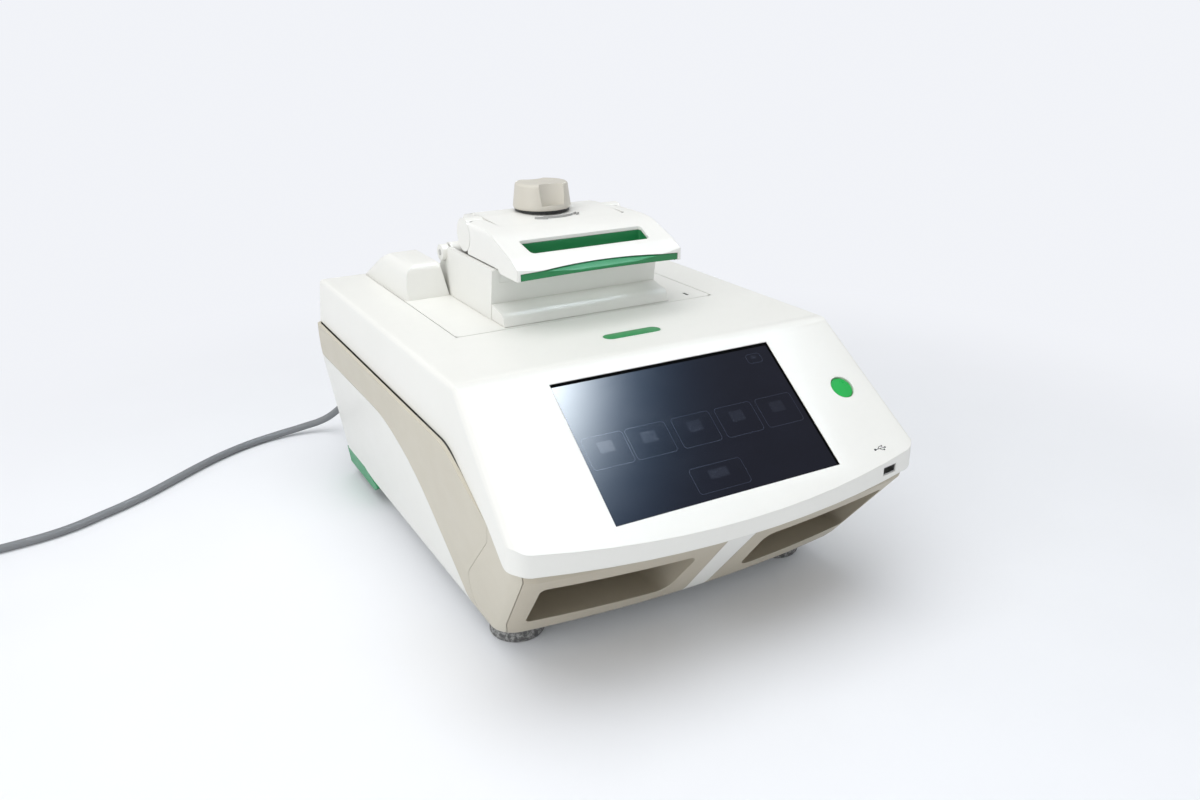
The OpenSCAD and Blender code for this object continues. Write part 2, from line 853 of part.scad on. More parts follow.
module power_inlet() {
  color([0.1, 0.1, 0.1]) difference() {
    union() {
      box([inlet_x - 10, rear_y - 24, inlet_z - 14], [inlet_x + 10, rear_y, inlet_z + 14]);
      box([inlet_x - 7, rear_y - 16, rocker_z - 10.5], [inlet_x + 7, rear_y, rocker_z + 10.5]);
      along_y(rear_y - 4, rear_y - 2.1) polygon(rounded(
        box_corners(inlet_x - 12, inlet_z - 24, inlet_x + 12, rocker_z + 13, 3)));
    }
    along_y(rear_y - 16, rear_y + 1) polygon([
      [inlet_x - 8, inlet_z - 12], [inlet_x + 4, inlet_z - 12], [inlet_x + 8, inlet_z - 8],
      [inlet_x + 8, inlet_z + 8], [inlet_x + 4, inlet_z + 12], [inlet_x - 8, inlet_z + 12]
    ]);
    box([inlet_x - 5.6, rear_y - 9, rocker_z - 9], [inlet_x + 5.6, rear_y + 1, rocker_z + 9]);
    pin_x(inlet_x - 6.8, inlet_x + 6.8, rear_y - 3.5, rocker_z, 2.4 + 2 * run_gap);
  }
  // Blades
  color("silver") for (z = [-6, 0, 6])
    box([inlet_x - 1 + (z == 0 ? 3 : -2), rear_y - 16.5, inlet_z + z - 2],
      [inlet_x + 1 + (z == 0 ? 3 : -2), rear_y - 1.5, inlet_z + z + 2]);
}

module power_rocker() {
  color([0.16, 0.16, 0.16]) {
    along_x(inlet_x - 5.2, inlet_x + 5.2) polygon([
      [rear_y - 6, rocker_z - 6], [rear_y - 6, rocker_z + 6], [rear_y - 1.8, rocker_z + 8.2],
      [rear_y - 0.6, rocker_z + 8.2], [rear_y - 1.8, rocker_z], [rear_y - 3.2, rocker_z - 8.4],
        [rear_y - 4.2, rocker_z - 8.2]
    ]);
    pin_x(inlet_x - 6.6, inlet_x + 6.6, rear_y - 3.5, rocker_z, 2.4);
  }
}

module data_ports() {
  x = -inlet_x;
  color("silver") difference() {
    union() {
      box([x - 7, rear_y - 18, inlet_z - 16], [x + 7, rear_y - 0.2, inlet_z + 16]);
      box([x - 12, rear_y - 20, inlet_z - 20], [x + 12, rear_y - 18, inlet_z + 20]);
    }
    for (z = [-10.5, 0, 10.5]) box([x - 6.2, rear_y - 12, inlet_z + z - 4],
      [x + 6.2, rear_y + 1, inlet_z + z + 4]);
  }
}

module fan_frame(side) {
  h = fan_w / 2;
  color([0.12, 0.12, 0.12]) translate([side * fan_x, fan_y, fan_z]) {
    difference() {
      along_y(0, fan_t) polygon(rounded(box_corners(-h, -h, h, h, 4)));
      translate([0, fan_t + 1, 0]) rotate([90, 0, 0]) cylinder(d = fan_w - 4, h = fan_t + 2);
      for (x = [-1, 1]) for (z = [-1, 1])
        translate([x * (h - 4), fan_t + 1, z * (h - 4)]) rotate([90, 0, 0]) cylinder(d = 4, h = fan_t + 2);
    }
    difference() {
      union() {
        along_y(0, 3) circle(d = 30);
        for (a = [45 : 90 : 315]) rotate([0, a, 0]) box([10, 0.5, -2], [h + 4, 2.5, 2]);
        along_y(2, 12) circle(d = 8);
      }
      translate([0, 20, 0]) rotate([90, 0, 0]) cylinder(d = 4 + 2 * run_gap, h = 16);
    }
  }
}

module fan_rotor(side) {
  color([0.2, 0.2, 0.2]) translate([side * fan_x, fan_y, fan_z]) {
    difference() {
      along_y(3.6, 22) circle(d = 30);
      translate([0, 19, 0]) rotate([90, 0, 0]) cylinder(d = 26, h = 17);
    }
    along_y(5, 20) circle(d = 4);
    for (i = [0 : fan_blades - 1]) rotate([0, i * 360 / fan_blades, 0])
      translate([14.5, 12.5, 0]) rotate([38, 0, 0]) box([0, -8, -0.8], [fan_w / 2 - 18.5, 8, 0.8]);
  }
}

// Hinge cover beside the block housing: a soft-edged block with a long slope to the rear
module hump() {
  intersection() {
    along_x(hump_x1, hump_x0) polygon(rounded([
      [hump_front - 3, deck_h - 0.5, 0], [hump_front + 1, hump_top, 7],
      [hump_back, hump_top, 14], [module_rear - 3, deck_h - 0.5, 0]
    ]));
    along_y(hump_front - 20, rear_y) polygon(rounded([
      [hump_x1 - 0.5, deck_h - 1, 0], [hump_x1 + 4, hump_top, 12], [hump_x0 - 6.5, hump_top, 2],
        [hump_x0, deck_h - 1, 0]
    ]));
    along_z(0, far) polygon(rounded(concat(
      [[hump_x1 - 0.6, hump_front - 4, 8], [hump_x0 + 1, hump_front - 4, 2]],
      [[hump_x0 + 1, rear_y, 2], [hump_x1 - 0.6, rear_y, 6]]
    )));
  }
}

hump_x0 = -tower_half - cover_gap;
hump_x1 = hump_x0 - hump_w;
hump_front = hinge_y - 6;
hump_back = hinge_y + 54;
hump_top = deck_h + hump_h;

module module_cover() {
  hole = tower_half + 0.3;
  color("whitesmoke") difference() {
    union() {
      along_z(plate_low, deck_h) polygon(rounded(
        box_corners(-module_half, module_front, module_half, module_rear, 5)));
      both_sides() hump();
    }
    // Hollow of the hinge covers
    both_sides() box([hump_x1 + 6, hump_front + 8, plate_low - 1],
      [hump_x0 - 12, hump_back - 4, hump_top - 6]);
    // Seat of the block housing
    along_z(plate_low - 1, deck_h + 1) polygon(rounded(
      box_corners(-hole, tower_front - 0.3, hole, tower_rear + 0.3, 3.5)));
    box([status_x - 1.4, status_y - 4.2, plate_low - 1], [status_x + 1.4, status_y + 4.2, deck_h + 1]);
  }
}

status_x = module_half - 16.7;
status_y = module_front + 14.5;

module status_window() {
  color([0.1, 0.1, 0.1])
    box([status_x - 1.2, status_y - 4, plate_low - 3], [status_x + 1.2, status_y + 4, deck_h - 0.3]);
}

// Walled housing round the sample block, with a ramped apron in front and ears for the hinge pin
module block_housing() {
  low = sink_top + 0.2;
  color("whitesmoke") difference() {
    union() {
      along_z(low, deck_h + 10) polygon(rounded(
        box_corners(-tower_half, tower_front, tower_half, tower_rear, 3)));
      along_x(-tower_half, tower_half) polygon(rounded([
        [tower_front, deck_h, 0], [tower_front - tower_overhang, tower_top, 2],
          [tower_rear - 22, tower_top, 3],
        [tower_rear, hinge_z - 12, 6], [tower_rear, deck_h, 0]
      ]));
      // Apron
      along_x(-apron_half, apron_half) polygon(rounded([
        [apron_front, deck_h + 0.3, 0], [apron_front + 3.5, deck_h + 9.5, 9],
          [tower_front - 2, deck_h + apron_h, 0],
        [tower_front + 2, deck_h + apron_h, 0], [tower_front + 2, deck_h + 0.3, 0]
      ]));
      both_sides() pin_x(-tower_half - 4, -tower_half + 6, hinge_y, hinge_z, 14);
    }
    // Room for the block and the heater plate
    along_x(-tower_half + tower_wall, tower_half - tower_wall) polygon([
      [tower_front + tower_wall, low - 1], [tower_front + tower_wall, deck_h],
      [tower_front - tower_overhang + tower_wall, tower_top],
        [tower_front - tower_overhang + tower_wall, far],
      [tower_rear - tower_wall, far], [tower_rear - tower_wall, low - 1]
    ]);
    // Lowered front wall, between the side cheeks
    box([-tower_half + 7, tower_front - 20, tower_top - 12], [tower_half - 7, tower_front + 20, far]);
    // Sweep of the lid's knuckle
    pin_x(-tower_half + tower_wall - 0.5, tower_half - tower_wall + 0.5, hinge_y, hinge_z, 2 * knuckle_r + 3);
    pin_x(-far, far, hinge_y, hinge_z, hinge_pin_d + 2 * run_gap);
  }
}

module sample_block() {
  x0 = -(well_cols - 1) * well_pitch / 2;
  y0 = block_y - (well_rows - 1) * well_pitch / 2;
  color("silver") difference() {
    union() {
      along_z(block_top - block_h, block_top) polygon(rounded(box_corners(
        -block_w / 2, block_y - block_d / 2, block_w / 2, block_y + block_d / 2, 4)));
      box([-tower_half + tower_wall + 0.4, tower_front + tower_wall + 0.4, block_top - block_h],
        [tower_half - tower_wall - 0.4, block_y + block_d / 2 + 8, block_top - block_h + 4]);
    }
    for (i = [0 : well_cols - 1]) for (j = [0 : well_rows - 1])
      translate([x0 + i * well_pitch, y0 + j * well_pitch, block_top - well_deep])
        cylinder(d1 = 2.6, d2 = well_d, h = well_deep + 0.01, $fn = 24);
  }
}

module peltier_elements() {
  w = 37;
  color("white") for (i = [-1 : 1]) for (j = [-1, 1])
    translate([i * 39 - w / 2, block_y + j * 20 - w / 2,
      block_top - block_h - peltier_t - 0.2]) cube([w, w, peltier_t]);
}

module heat_sink() {
  y0 = block_y - sink_d / 2 + 8;
  color("silver") {
    box([-sink_w / 2, y0, sink_top - sink_base_t], [sink_w / 2, y0 + sink_d, sink_top]);
    for (i = [0 : fin_count - 1])
      translate([-sink_w / 2 + fin_t + i * (sink_w - 3 * fin_t) / (fin_count - 1), y0,
        sink_top - sink_base_t - fin_h])
        cube([fin_t, sink_d, fin_h + 1]);
  }
}

// Spacers that hang the heat sink under the cover plate
module sink_spacers() {
  y0 = block_y - sink_d / 2 + 14;
  color("silver") both_sides() for (y = [y0, y0 + sink_d - 32])
    box([-sink_w / 2 + 2, y, sink_top + 0.2], [-sink_w / 2 + 14, y + 20, plate_low - 0.2]);
}

module hinge_pin() {
  color("silver") pin_x(-tower_half - 4.5, tower_half + 4.5, hinge_y, hinge_z, hinge_pin_d);
}

// Side outline of the lid behind the pivot, falling to the knuckle
module lid_side_outline() {
  top = lid_top - 0.3;
  polygon(rounded([
    [pivot_y, lid_low, 0], [hinge_y - 6, lid_low, 0], [hinge_y + 6, hinge_z + 6, 3],
    [hinge_y - 6, top - 3, 10], [pivot_y + 12, top, 6], [pivot_y, top, 0]
  ]));
}

module lid_frame() {
  inner = tower_half - tower_wall - 0.7;
  body_half = lid_inner - 4.2;
  swing = lever_swing + 2;
  color("whitesmoke") difference() {
    union() {
      // Body under the lever and the top cover
      box([-body_half, lid_front, lid_low], [body_half, cover_front, lid_top - 11]);
      box([-body_half, cover_front - 1, lid_low], [body_half, pivot_y + 10, lid_top - 8]);
      // Round ends at the lever's pivot, and the back
      pin_x(-lid_half, lid_half, pivot_y, pivot_z, 2 * pivot_r);
      along_x(-lid_back_half, lid_back_half) lid_side_outline();
      pin_x(-inner, inner, hinge_y, hinge_z, 2 * knuckle_r);
    }
    // Pocket of the top cover
    box([-cover_w / 2 - 0.2, lid_front - 1, lid_top - 5], [cover_w / 2 + 0.2, hinge_y - 14, far]);
    box([-cover_w / 2 + 6, cover_front + 4, lid_top - 12], [cover_w / 2 - 6, hinge_y - 22, far]);
    // Room for the heater plate
    box([-heater_w / 2 - 1, block_y - heater_d / 2 - 1, lid_low - 10],
      [heater_w / 2 + 1, block_y + heater_d / 2 + 1, heater_top + plate_travel + 1]);
    // Slots for the lever's inner arms
    both_sides() along_x(-lid_half + 3.4, -lid_inner + 3.9) union() {
      translate([pivot_y, pivot_z]) circle(r = arm_r + 0.5);
      polygon([
        [pivot_y, pivot_z - arm_r - 0.5], [pivot_y, pivot_z + 7.5],
        [pivot_y - 90 * cos(swing), pivot_z + 7.5 + 90 * sin(swing)], [0, pivot_z - arm_r - 0.5]
      ]);
    }
    pin_x(-lid_half + 1, lid_half - 1, pivot_y, pivot_z, 5 + 2 * run_gap);
    pin_x(-far, far, hinge_y, hinge_z, hinge_pin_d + 2 * run_gap);
    translate([0, knob_y, 0]) cylinder(d = 10 + 2 * run_gap, h = far);
    for (p = post_places) translate([p[0], p[1], 0]) cylinder(d = 5 + 2 * run_gap, h = lid_top - 6);
  }
}

post_places = [for (x = [-1, 1]) for (y = [-1, 1]) [x * (heater_w / 2 - 10),
  block_y + y * (heater_d / 2 - 12)]];

module lid_cover() {
  back = hinge_y - 14.3;
  front = cover_front;
  color("whitesmoke") difference() {
    intersection() {
      along_x(-cover_w / 2, cover_w / 2) polygon(rounded([
        [front, lid_top - 4.8, 0], [back, lid_top - 4.8, 0], [back, lid_top - 3, 2],
        [back - 6, lid_top - 0.4, 6], [pivot_y - 4, lid_top, 30], [front, lid_top - 2.4, 1]
      ]));
      along_z(0, far) polygon(rounded([
        [-cover_w / 2, front, 3], [cover_w / 2, front, 3], [cover_w / 2, back, 8], [-cover_w / 2, back, 8]
      ]));
    }
    translate([0, knob_y, 0]) cylinder(d = 10 + 2 * run_gap, h = far);
  }
}

module pivot_pins() {
  color("silver") both_sides() pin_x(-lid_half + 1.2, -lid_inner + 14, pivot_y, pivot_z, 5);
}

// Side outline of the lever; inset moves its top and front inward and its open bottom down
module lever_side(inset) {
  low = lever_low - inset;
  nose = nose_low - inset;
  polygon(rounded([
    [pivot_y - 8, low, 0], [8, low, 0], [4, nose, 0],
    [lever_front + inset + 1, nose, 0],
    [lever_front + inset - 1, nose_low + 5 - inset, 4],
    [-17, lid_top - 16.5 - inset, 30],
    [18, lid_top - 4.5 - inset, 60],
    [57, lid_top + 0.5 - inset, 60],
    [pivot_y - 8, lid_top + 1 - inset, 0]
  ]));
}

module lever_form(inset) {
  w = lid_half - inset;
  intersection() {
    along_x(-w, w) lever_side(inset);
    along_z(0, far) intersection() {
      translate([0, lever_front + lever_bow_r]) circle(r = lever_bow_r - inset, $fn = 256);
      polygon(rounded([
        [-w, lever_front - 4 + inset, 7], [w, lever_front - 4 + inset, 7], [w, far, 0], [-w, far, 0]
      ]));
    }
    along_y(-far, far) intersection() {
      translate([0, lid_top + 2.5 - inset - lever_crown_r]) circle(r = lever_crown_r, $fn = 256);
      polygon(rounded([[-w, 0, 0], [w, 0, 0], [w, lid_top - 1.5 - inset, 5],
        [-w, lid_top - 1.5 - inset, 5]]));
    }
  }
}

function slot_outline(grow) =
  let (x = slot_w / 2 + grow, y0 = slot_mid_y - slot_d / 2 - grow, y1 = slot_mid_y + slot_d / 2 + grow)
  rounded([[-x + slot_taper, y0, 4], [x - slot_taper, y0, 4], [x, y1, 2.5], [-x, y1, 2.5]]);

// Room under the arched lower edge of the lever's nose, between its side walls
module nose_arch(gap) {
  x = lid_half - lever_skin - gap;
  along_y(lever_front - 20, 0) intersection() {
    translate([0, arch_top - gap - arch_r]) circle(r = arch_r, $fn = 256);
    translate([-x, 0]) square([2 * x, far]);
  }
}

module lid_lever() {
  color("whitesmoke") {
    difference() {
      lever_form(0);
      lever_form(lever_skin);
      nose_arch(0);
      // Round ends of the lid
      along_x(-far, far) {
        translate([pivot_y, pivot_z]) circle(r = pivot_r + 0.5);
        polygon([
          [pivot_y, pivot_z], [pivot_y - 30 * sin(lever_swing + 2), pivot_z + 30 * cos(lever_swing + 2)],
          [pivot_y + 40, pivot_z + 60], [pivot_y + 40, pivot_z - 60], [pivot_y - 6, pivot_z - 60]
        ]);
      }
      // Top cover
      along_z(0, far) polygon(rounded([
        [-cover_w / 2 - shell_gap, cover_front - shell_gap, 3],
          [cover_w / 2 + shell_gap, cover_front - shell_gap, 3],
        [cover_w / 2 + shell_gap, far, 0], [-cover_w / 2 - shell_gap, far, 0]
      ]));
      along_z(0, far) polygon(slot_outline(0.3));
    }
    // Inner arms that reach the pivot pins
    both_sides() difference() {
      along_x(-lid_half + 3.7, -lid_inner + 3.6) union() {
        translate([pivot_y, pivot_z]) circle(r = arm_r);
        polygon([
          [pivot_y, pivot_z - arm_r], [pivot_y - 2, pivot_z + 6], [44, pivot_z + 7], [34, pivot_z + 11],
          [lid_front - 4, lid_low + 16], [lid_front - 4, pivot_z - arm_r]
        ]);
      }
      pin_x(-far, far, pivot_y, pivot_z, 5 + 2 * run_gap);
    }
  }
}

// Green liner of the finger slot, and the crescent under the nose
module lever_grip() {
  liner = 2;
  inset = lever_skin + 0.3;
  color("seagreen") difference() {
    union() {
      intersection() {
        lever_form(inset);
        union() {
          along_z(grip_floor, far) polygon(slot_outline(liner));
          box([-far, -far, grip_floor], [far, slot_mid_y, grip_floor + 4.6]);
        }
      }
      intersection() {
        difference() {
          lever_form(0.8);
          lever_form(inset + 0.5);
        }
        nose_arch(0.4);
        box([-far, -far, 0], [far, lever_front + 18, far]);
      }
    }
    along_z(0, far) polygon(slot_outline(0));
    along_y(-far, lever_front + 10) translate([0, grip_low - grip_arch_r]) circle(r = grip_arch_r, $fn = 512);
  }
}

module knob() {
  top = knob_base + knob_h;
  color("tan") difference() {
    translate([0, knob_y, knob_base]) rotate_extrude() polygon(rounded([
      [5.2, 0, 0], [knob_d / 2 - 0.6, 0, 0.4], [knob_d / 2, 2, 1], [knob_d / 2 - 2.4, knob_h, 2.5],
        [0, knob_h, 0], [0, 4, 0], [5.2, 4, 0]
    ]));
    // Thumb scoops front and back
    for (side = [-1, 1]) translate([0, knob_y + side * (knob_d / 2 + 9),
      knob_base + 7]) rotate([side * 14, 0, 0])
      cylinder(r = 16, h = 40);
  }
}

module knob_spindle() {
  low = heater_top + plate_travel + 1.5;
  color("silver") translate([0, knob_y, 0]) {
    along_z(low, knob_base + 3.9) circle(d = 10);
    along_z(lid_top + 0.4, knob_base - 0.1) circle(d = knob_d - 12);
  }
}

module heater_plate() {
  color("silver") difference() {
    box([-heater_w / 2, block_y - heater_d / 2, heater_top - heater_t],
      [heater_w / 2, block_y + heater_d / 2, heater_top]);
    for (i = [0 : well_cols - 1]) for (j = [0 : well_rows - 1])
      translate([(i - (well_cols - 1) / 2) * well_pitch,
        block_y + (j - (well_rows - 1) / 2) * well_pitch, heater_top - heater_t - 1])
        cylinder(d = 5, h = 4, $fn = 24);
  }
}

module guide_posts() {
  color("silver") for (p = post_places) translate([p[0], p[1],
    heater_top + 0.02]) cylinder(d = 5, h = plate_travel + 8);
}

// Ring of a swept tube's outline at one place of its route
function ring(p, d, size, sides) =
  let (side = unit(cross(d, [0, 0, 1])), up = cross(side, d))
  [for (k = [0 : sides - 1]) p + size / 2 * (side * cos(k * 360 / sides) + up * sin(k * 360 / sides))];

// Tube along a route of points
module swept(points, size, sides) {
  n = len(points);
  rings = [for (i = [0 : n - 1])
    each ring(points[i], unit(points[min(i + 1, n - 1)] - points[max(i - 1, 0)]), size, sides)];
  polyhedron(rings, concat(
    [[for (k = [0 : sides - 1]) k]],
    [for (i = [0 : n - 2]) for (k = [0 : sides - 1]) let (a = i * sides, b = (k + 1) % sides)
      [a + b, a + k, a + sides + k, a + sides + b]],
    [[for (k = [sides - 1 : -1 : 0]) (n - 1) * sides + k]]
  ), convexity = 6);
}

module cord() {
  color("gray") swept(cord_points, cord_d, 10);
}

module cord_coil() {
  turns_w = 3.4 * cord_d;
  color("gray") translate([coil_x, coil_y, 0.3]) rotate_extrude()
    polygon(rounded(box_corners(coil_d / 2 - turns_w / 2, 0, coil_d / 2 + turns_w / 2, 2.1 * cord_d, 3)));
}

module cord_connector() {
  y0 = rear_y + 0.3;
  color([0.15, 0.15, 0.15]) translate([inlet_x, 0, inlet_z]) {
    along_y(y0, y0 + 26) polygon(rounded(box_corners(-10.5, -14.5, 10.5, 14.5, 5)));
    translate([0, y0 + 26, 0]) rotate([-90, 0, 0]) cylinder(d1 = 16, d2 = 9, h = 34);
  }
}

// Plug that lies on the bench beside the coil, with its strain relief
module cord_plug() {
  color([0.15, 0.15, 0.15]) translate([plug_x, plug_y, 11.3]) rotate([0, 0, -45]) {
    along_x(0, 36) polygon(rounded(box_corners(-14, -11, 14, 11, 5)));
    rotate([0, -90, 0]) cylinder(d1 = 14, d2 = 9, h = 30);
  }
  color("silver") translate([plug_x, plug_y, 11.3]) rotate([0, 0, -45]) {
    for (y = [-6.3, 6.3]) box([36, y - 0.8, -3], [54, y + 0.8, 3.3]);
    translate([36, 0, -7]) rotate([0, 90, 0]) cylinder(d = 4.7, h = 21);
  }
}

upper_housing();
base_shell();
color("tan") side_strip();  // side_strip_left
color("tan") mirror([1, 0, 0]) side_strip();  // side_strip_right
color("tan") corner_cap();  // corner_cap_left
color("tan") mirror([1, 0, 0]) corner_cap();  // corner_cap_right
color("tan") intake_bezel();  // intake_bezel_left
color("tan") mirror([1, 0, 0]) intake_bezel();  // intake_bezel_right
rear_panel();
rear_skirt();
feet();
foot_screws();
bay_tray();
display_gasket();
touch_glass();
lcd_panel();
main_board();
usb_socket();
power_button();
button_spring();
button_board();
power_supply();
power_inlet();
power_rocker();
data_ports();
fan_frame(-1);  // fan_frame_left
fan_frame(1);  // fan_frame_right
fan_rotor(-1);  // fan_rotor_left
fan_rotor(1);  // fan_rotor_right
module_cover();
block_housing();
sample_block();
peltier_elements();
heat_sink();
sink_spacers();
status_window();
hinge_pin();
lid_frame();
lid_cover();
pivot_pins();
lid_lever();
lever_grip();
knob();
knob_spindle();
heater_plate();
guide_posts();
cord();
cord_coil();
cord_connector();
cord_plug();
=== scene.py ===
import math

import bmesh
import bpy
from mathutils import Matrix, Vector


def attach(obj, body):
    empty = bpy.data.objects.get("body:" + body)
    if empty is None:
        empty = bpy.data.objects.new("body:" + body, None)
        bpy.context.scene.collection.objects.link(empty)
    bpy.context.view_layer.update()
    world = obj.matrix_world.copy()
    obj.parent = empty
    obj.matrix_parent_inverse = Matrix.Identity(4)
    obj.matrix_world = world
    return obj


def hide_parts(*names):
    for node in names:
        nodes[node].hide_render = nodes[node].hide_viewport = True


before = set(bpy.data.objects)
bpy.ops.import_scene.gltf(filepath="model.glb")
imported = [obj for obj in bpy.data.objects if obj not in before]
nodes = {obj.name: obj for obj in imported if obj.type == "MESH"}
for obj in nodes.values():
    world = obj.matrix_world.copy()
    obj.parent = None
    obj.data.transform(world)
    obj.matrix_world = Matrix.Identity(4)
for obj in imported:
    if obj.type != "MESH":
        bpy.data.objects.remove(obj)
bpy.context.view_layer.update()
scene = bpy.context.scene
scene.view_settings.view_transform = "Standard"
MM = 0.001

# Values shared with part.scad, in millimetres
DECK = 203
SLOPE = math.radians(36.5)
FRONT_Y, NOSE_Z = -230, 115
BEND_Y = FRONT_Y + (DECK - NOSE_Z) / math.tan(SLOPE)
GLASS_W, GLASS_H, GLASS_MID = 188, 114, 12.5 + 57
GLASS_SINK = 1.8
# Widths of the painted shadow band along the glass's top and right edges
SHADOW_BAND_TOP, SHADOW_BAND_RIGHT = 2.6, 2.2
LID_TOP, KNOB_Y = 276, 78
COVER_X, COVER_Y = 57.4, 37.5
TOWER_TOP, TOWER_FRONT, TOWER_LEAN, SEAL_X = 246, 20, 7, 70


# Camera, solved from the photograph's straight edges

FOCAL_PX, PHOTO_W = 1006, 1200

def camera():
    data = bpy.data.cameras.new("camera")
    obj = bpy.data.objects.new("camera", data)
    scene.collection.objects.link(obj)
    data.sensor_fit, data.sensor_width = "HORIZONTAL", 36
    data.lens = FOCAL_PX / PHOTO_W * data.sensor_width
    yaw, pitch, roll = (math.radians(a) for a in (28.98, -21.19, -0.63))
    ahead = Vector((math.sin(yaw) * math.cos(pitch), math.cos(yaw) * math.cos(pitch), math.sin(pitch)))
    right = Vector((math.cos(yaw), -math.sin(yaw), 0))
    up = right.cross(ahead)
    r = right * math.cos(roll) + up * math.sin(roll)
    u = up * math.cos(roll) - right * math.sin(roll)
    turn = Matrix((r, u, -ahead)).transposed().to_4x4()
    obj.matrix_world = Matrix.Translation((-0.3808, -0.7097, 0.4366)) @ turn
    data.clip_start, data.clip_end = 0.01, 50
    scene.camera = obj


camera()


# Materials

class Graph:
    """A material's nodes, made by short calls."""

    def __init__(self, name, **given):
        self.mat = bpy.data.materials.new(name)
        self.mat.use_nodes = True
        self.tree = self.mat.node_tree
        self.bsdf = self.tree.nodes["Principled BSDF"]
        for key, value in given.items():
            socket = self.bsdf.inputs[key.replace("_", " ")]
            socket.default_value = (*value, 1) if isinstance(value, tuple) and len(value) == 3 else value
        self.coord = self.add("ShaderNodeTexCoord").outputs["Object"]

    def add(self, kind, **given):
        node = self.tree.nodes.new(kind)
        for key, value in given.items():
            setattr(node, key, value)
        return node

    def link(self, a, b):
        self.tree.links.new(a, b)

    def noise(self, scale, detail=3.0, rough=0.55, stretch=None, kind="ShaderNodeTexNoise"):
        node = self.add(kind)
        vector = self.coord
        if stretch:
            mapping = self.add("ShaderNodeMapping")
            mapping.inputs["Scale"].default_value = stretch
            self.link(self.coord, mapping.inputs["Vector"])
            vector = mapping.outputs["Vector"]
        self.link(vector, node.inputs["Vector"])
        node.inputs["Scale"].default_value = scale
        if kind == "ShaderNodeTexNoise":
            node.inputs["Detail"].default_value = detail
            node.inputs["Roughness"].default_value = rough
            return node.outputs["Fac"]
        return node.outputs["Distance"]

    def spread(self, fac, low, high, from_low=0.3, from_high=0.7):
        node = self.add("ShaderNodeMapRange")
        self.link(fac, node.inputs["Value"])
        limits = {"From Min": from_low, "From Max": from_high, "To Min": low, "To Max": high}
        for key, value in limits.items():
            node.inputs[key].default_value = value
        return node.outputs["Result"]

    def math(self, kind, a, b=None):
        node = self.add("ShaderNodeMath", operation=kind)
        for socket, value in zip(node.inputs, (a, b)):
            if isinstance(value, (int, float)):
                socket.default_value = value
            elif value is not None:
                self.link(value, socket)
        return node.outputs[0]

    def mix(self, fac, a, b, kind="MIX"):
        node = self.add("ShaderNodeMix", data_type="RGBA", blend_type=kind)
        for index, value in ((0, fac), (6, a), (7, b)):
            socket = node.inputs[index]
            if isinstance(value, tuple):
                socket.default_value = (*value, 1)
            elif isinstance(value, (int, float)):
                socket.default_value = value
            else:
                self.link(value, socket)
        return node.outputs[2]

    def color(self, value):
        self.link(value, self.bsdf.inputs["Base Color"])

    def rough(self, value):
        self.link(value, self.bsdf.inputs["Roughness"])

    def bump(self, height, strength, distance, normal=None):
        node = self.add("ShaderNodeBump")
        node.inputs["Strength"].default_value = strength
        node.inputs["Distance"].default_value = distance
        self.link(height, node.inputs["Height"])
        if normal is not None:
            self.link(normal, node.inputs["Normal"])
        self.link(node.outputs["Normal"], self.bsdf.inputs["Normal"])
        return node.outputs["Normal"]

    def rounding(self, radius):
        node = self.add("ShaderNodeBevel", samples=4)
        node.inputs["Radius"].default_value = radius
        return node.outputs["Normal"]

    def crevices(self, distance):
        node = self.add("ShaderNodeAmbientOcclusion", samples=4, only_local=False)
        node.inputs["Distance"].default_value = distance
        return node.outputs["AO"]


def scaled(color, factor):
    return tuple(min(1, c * factor) for c in color)


def moulded(name, color, rough=0.42, grain=0.05, shade=0.03, dust_and_shade=0.12, round_mm=0.6,
            warm=(0.55, 0.47, 0.35), cell=1500):
    """Moulded plastic: spark-eroded grain, cloudy tint, uneven gloss, and painted shade with a little dust
    that darkens the seams and crevices.
    """
    g = Graph(name)
    g.bsdf.inputs["IOR"].default_value = 1.49
    cloud = g.noise(7, 4, 0.6)
    fine = g.noise(190, 3, 0.6)
    tint = g.mix(g.spread(cloud, 0, 1), scaled(color, 1 - shade), scaled(color, 1 + shade * 0.5))
    tint = g.mix(g.spread(fine, 0, 0.10), tint, scaled(color, 0.93))
    # Painted shade: darker and warmer where ambient occlusion finds crevices and seams, standing also for a
    # little dust there
    crevice_dust_and_shade = g.spread(g.crevices(0.006), dust_and_shade, 0, 0.35, 0.85)
    tint = g.mix(crevice_dust_and_shade, tint, tuple(c * w for c, w in zip(color, warm)))
    g.color(tint)
    uneven = g.spread(g.noise(35, 4), rough - 0.05, rough + 0.06)
    g.rough(g.math("ADD", uneven, g.spread(g.noise(900, 2), -0.02, 0.03)))
    g.bump(g.noise(cell, 2, 0.5), grain, 0.0002, g.rounding(round_mm * MM))
    return g.mat


def printed(name, color, rough, grain, shade):
    """A thin print or film: no painted crevice shade and no dust, and edges left sharp."""
    return moulded(name, color, rough, grain, shade, dust_and_shade=0.0, warm=(1, 1, 1), round_mm=0.01)


def metal(name, color, rough, brush=None, round_mm=0.3, scratch=0.5):
    """Machined, drawn or plated metal, brushed along the direction that brush leaves unstretched."""
    g = Graph(name, Metallic=1.0)
    cloud = g.noise(22, 4)
    grain = g.noise(700, 3, 0.7, stretch=brush) if brush else g.noise(500, 4, 0.6)
    tint = g.mix(g.spread(cloud, 0, 1), scaled(color, 0.9), color)
    g.color(g.mix(g.spread(grain, 0, 0.35), tint, scaled(color, 0.78)))
    g.rough(g.math("ADD", g.spread(cloud, rough - 0.04, rough + 0.05), g.spread(grain, -0.03, 0.06)))
    g.bump(grain, 0.12 * scratch, 0.0001, g.rounding(round_mm * MM))
    return g.mat


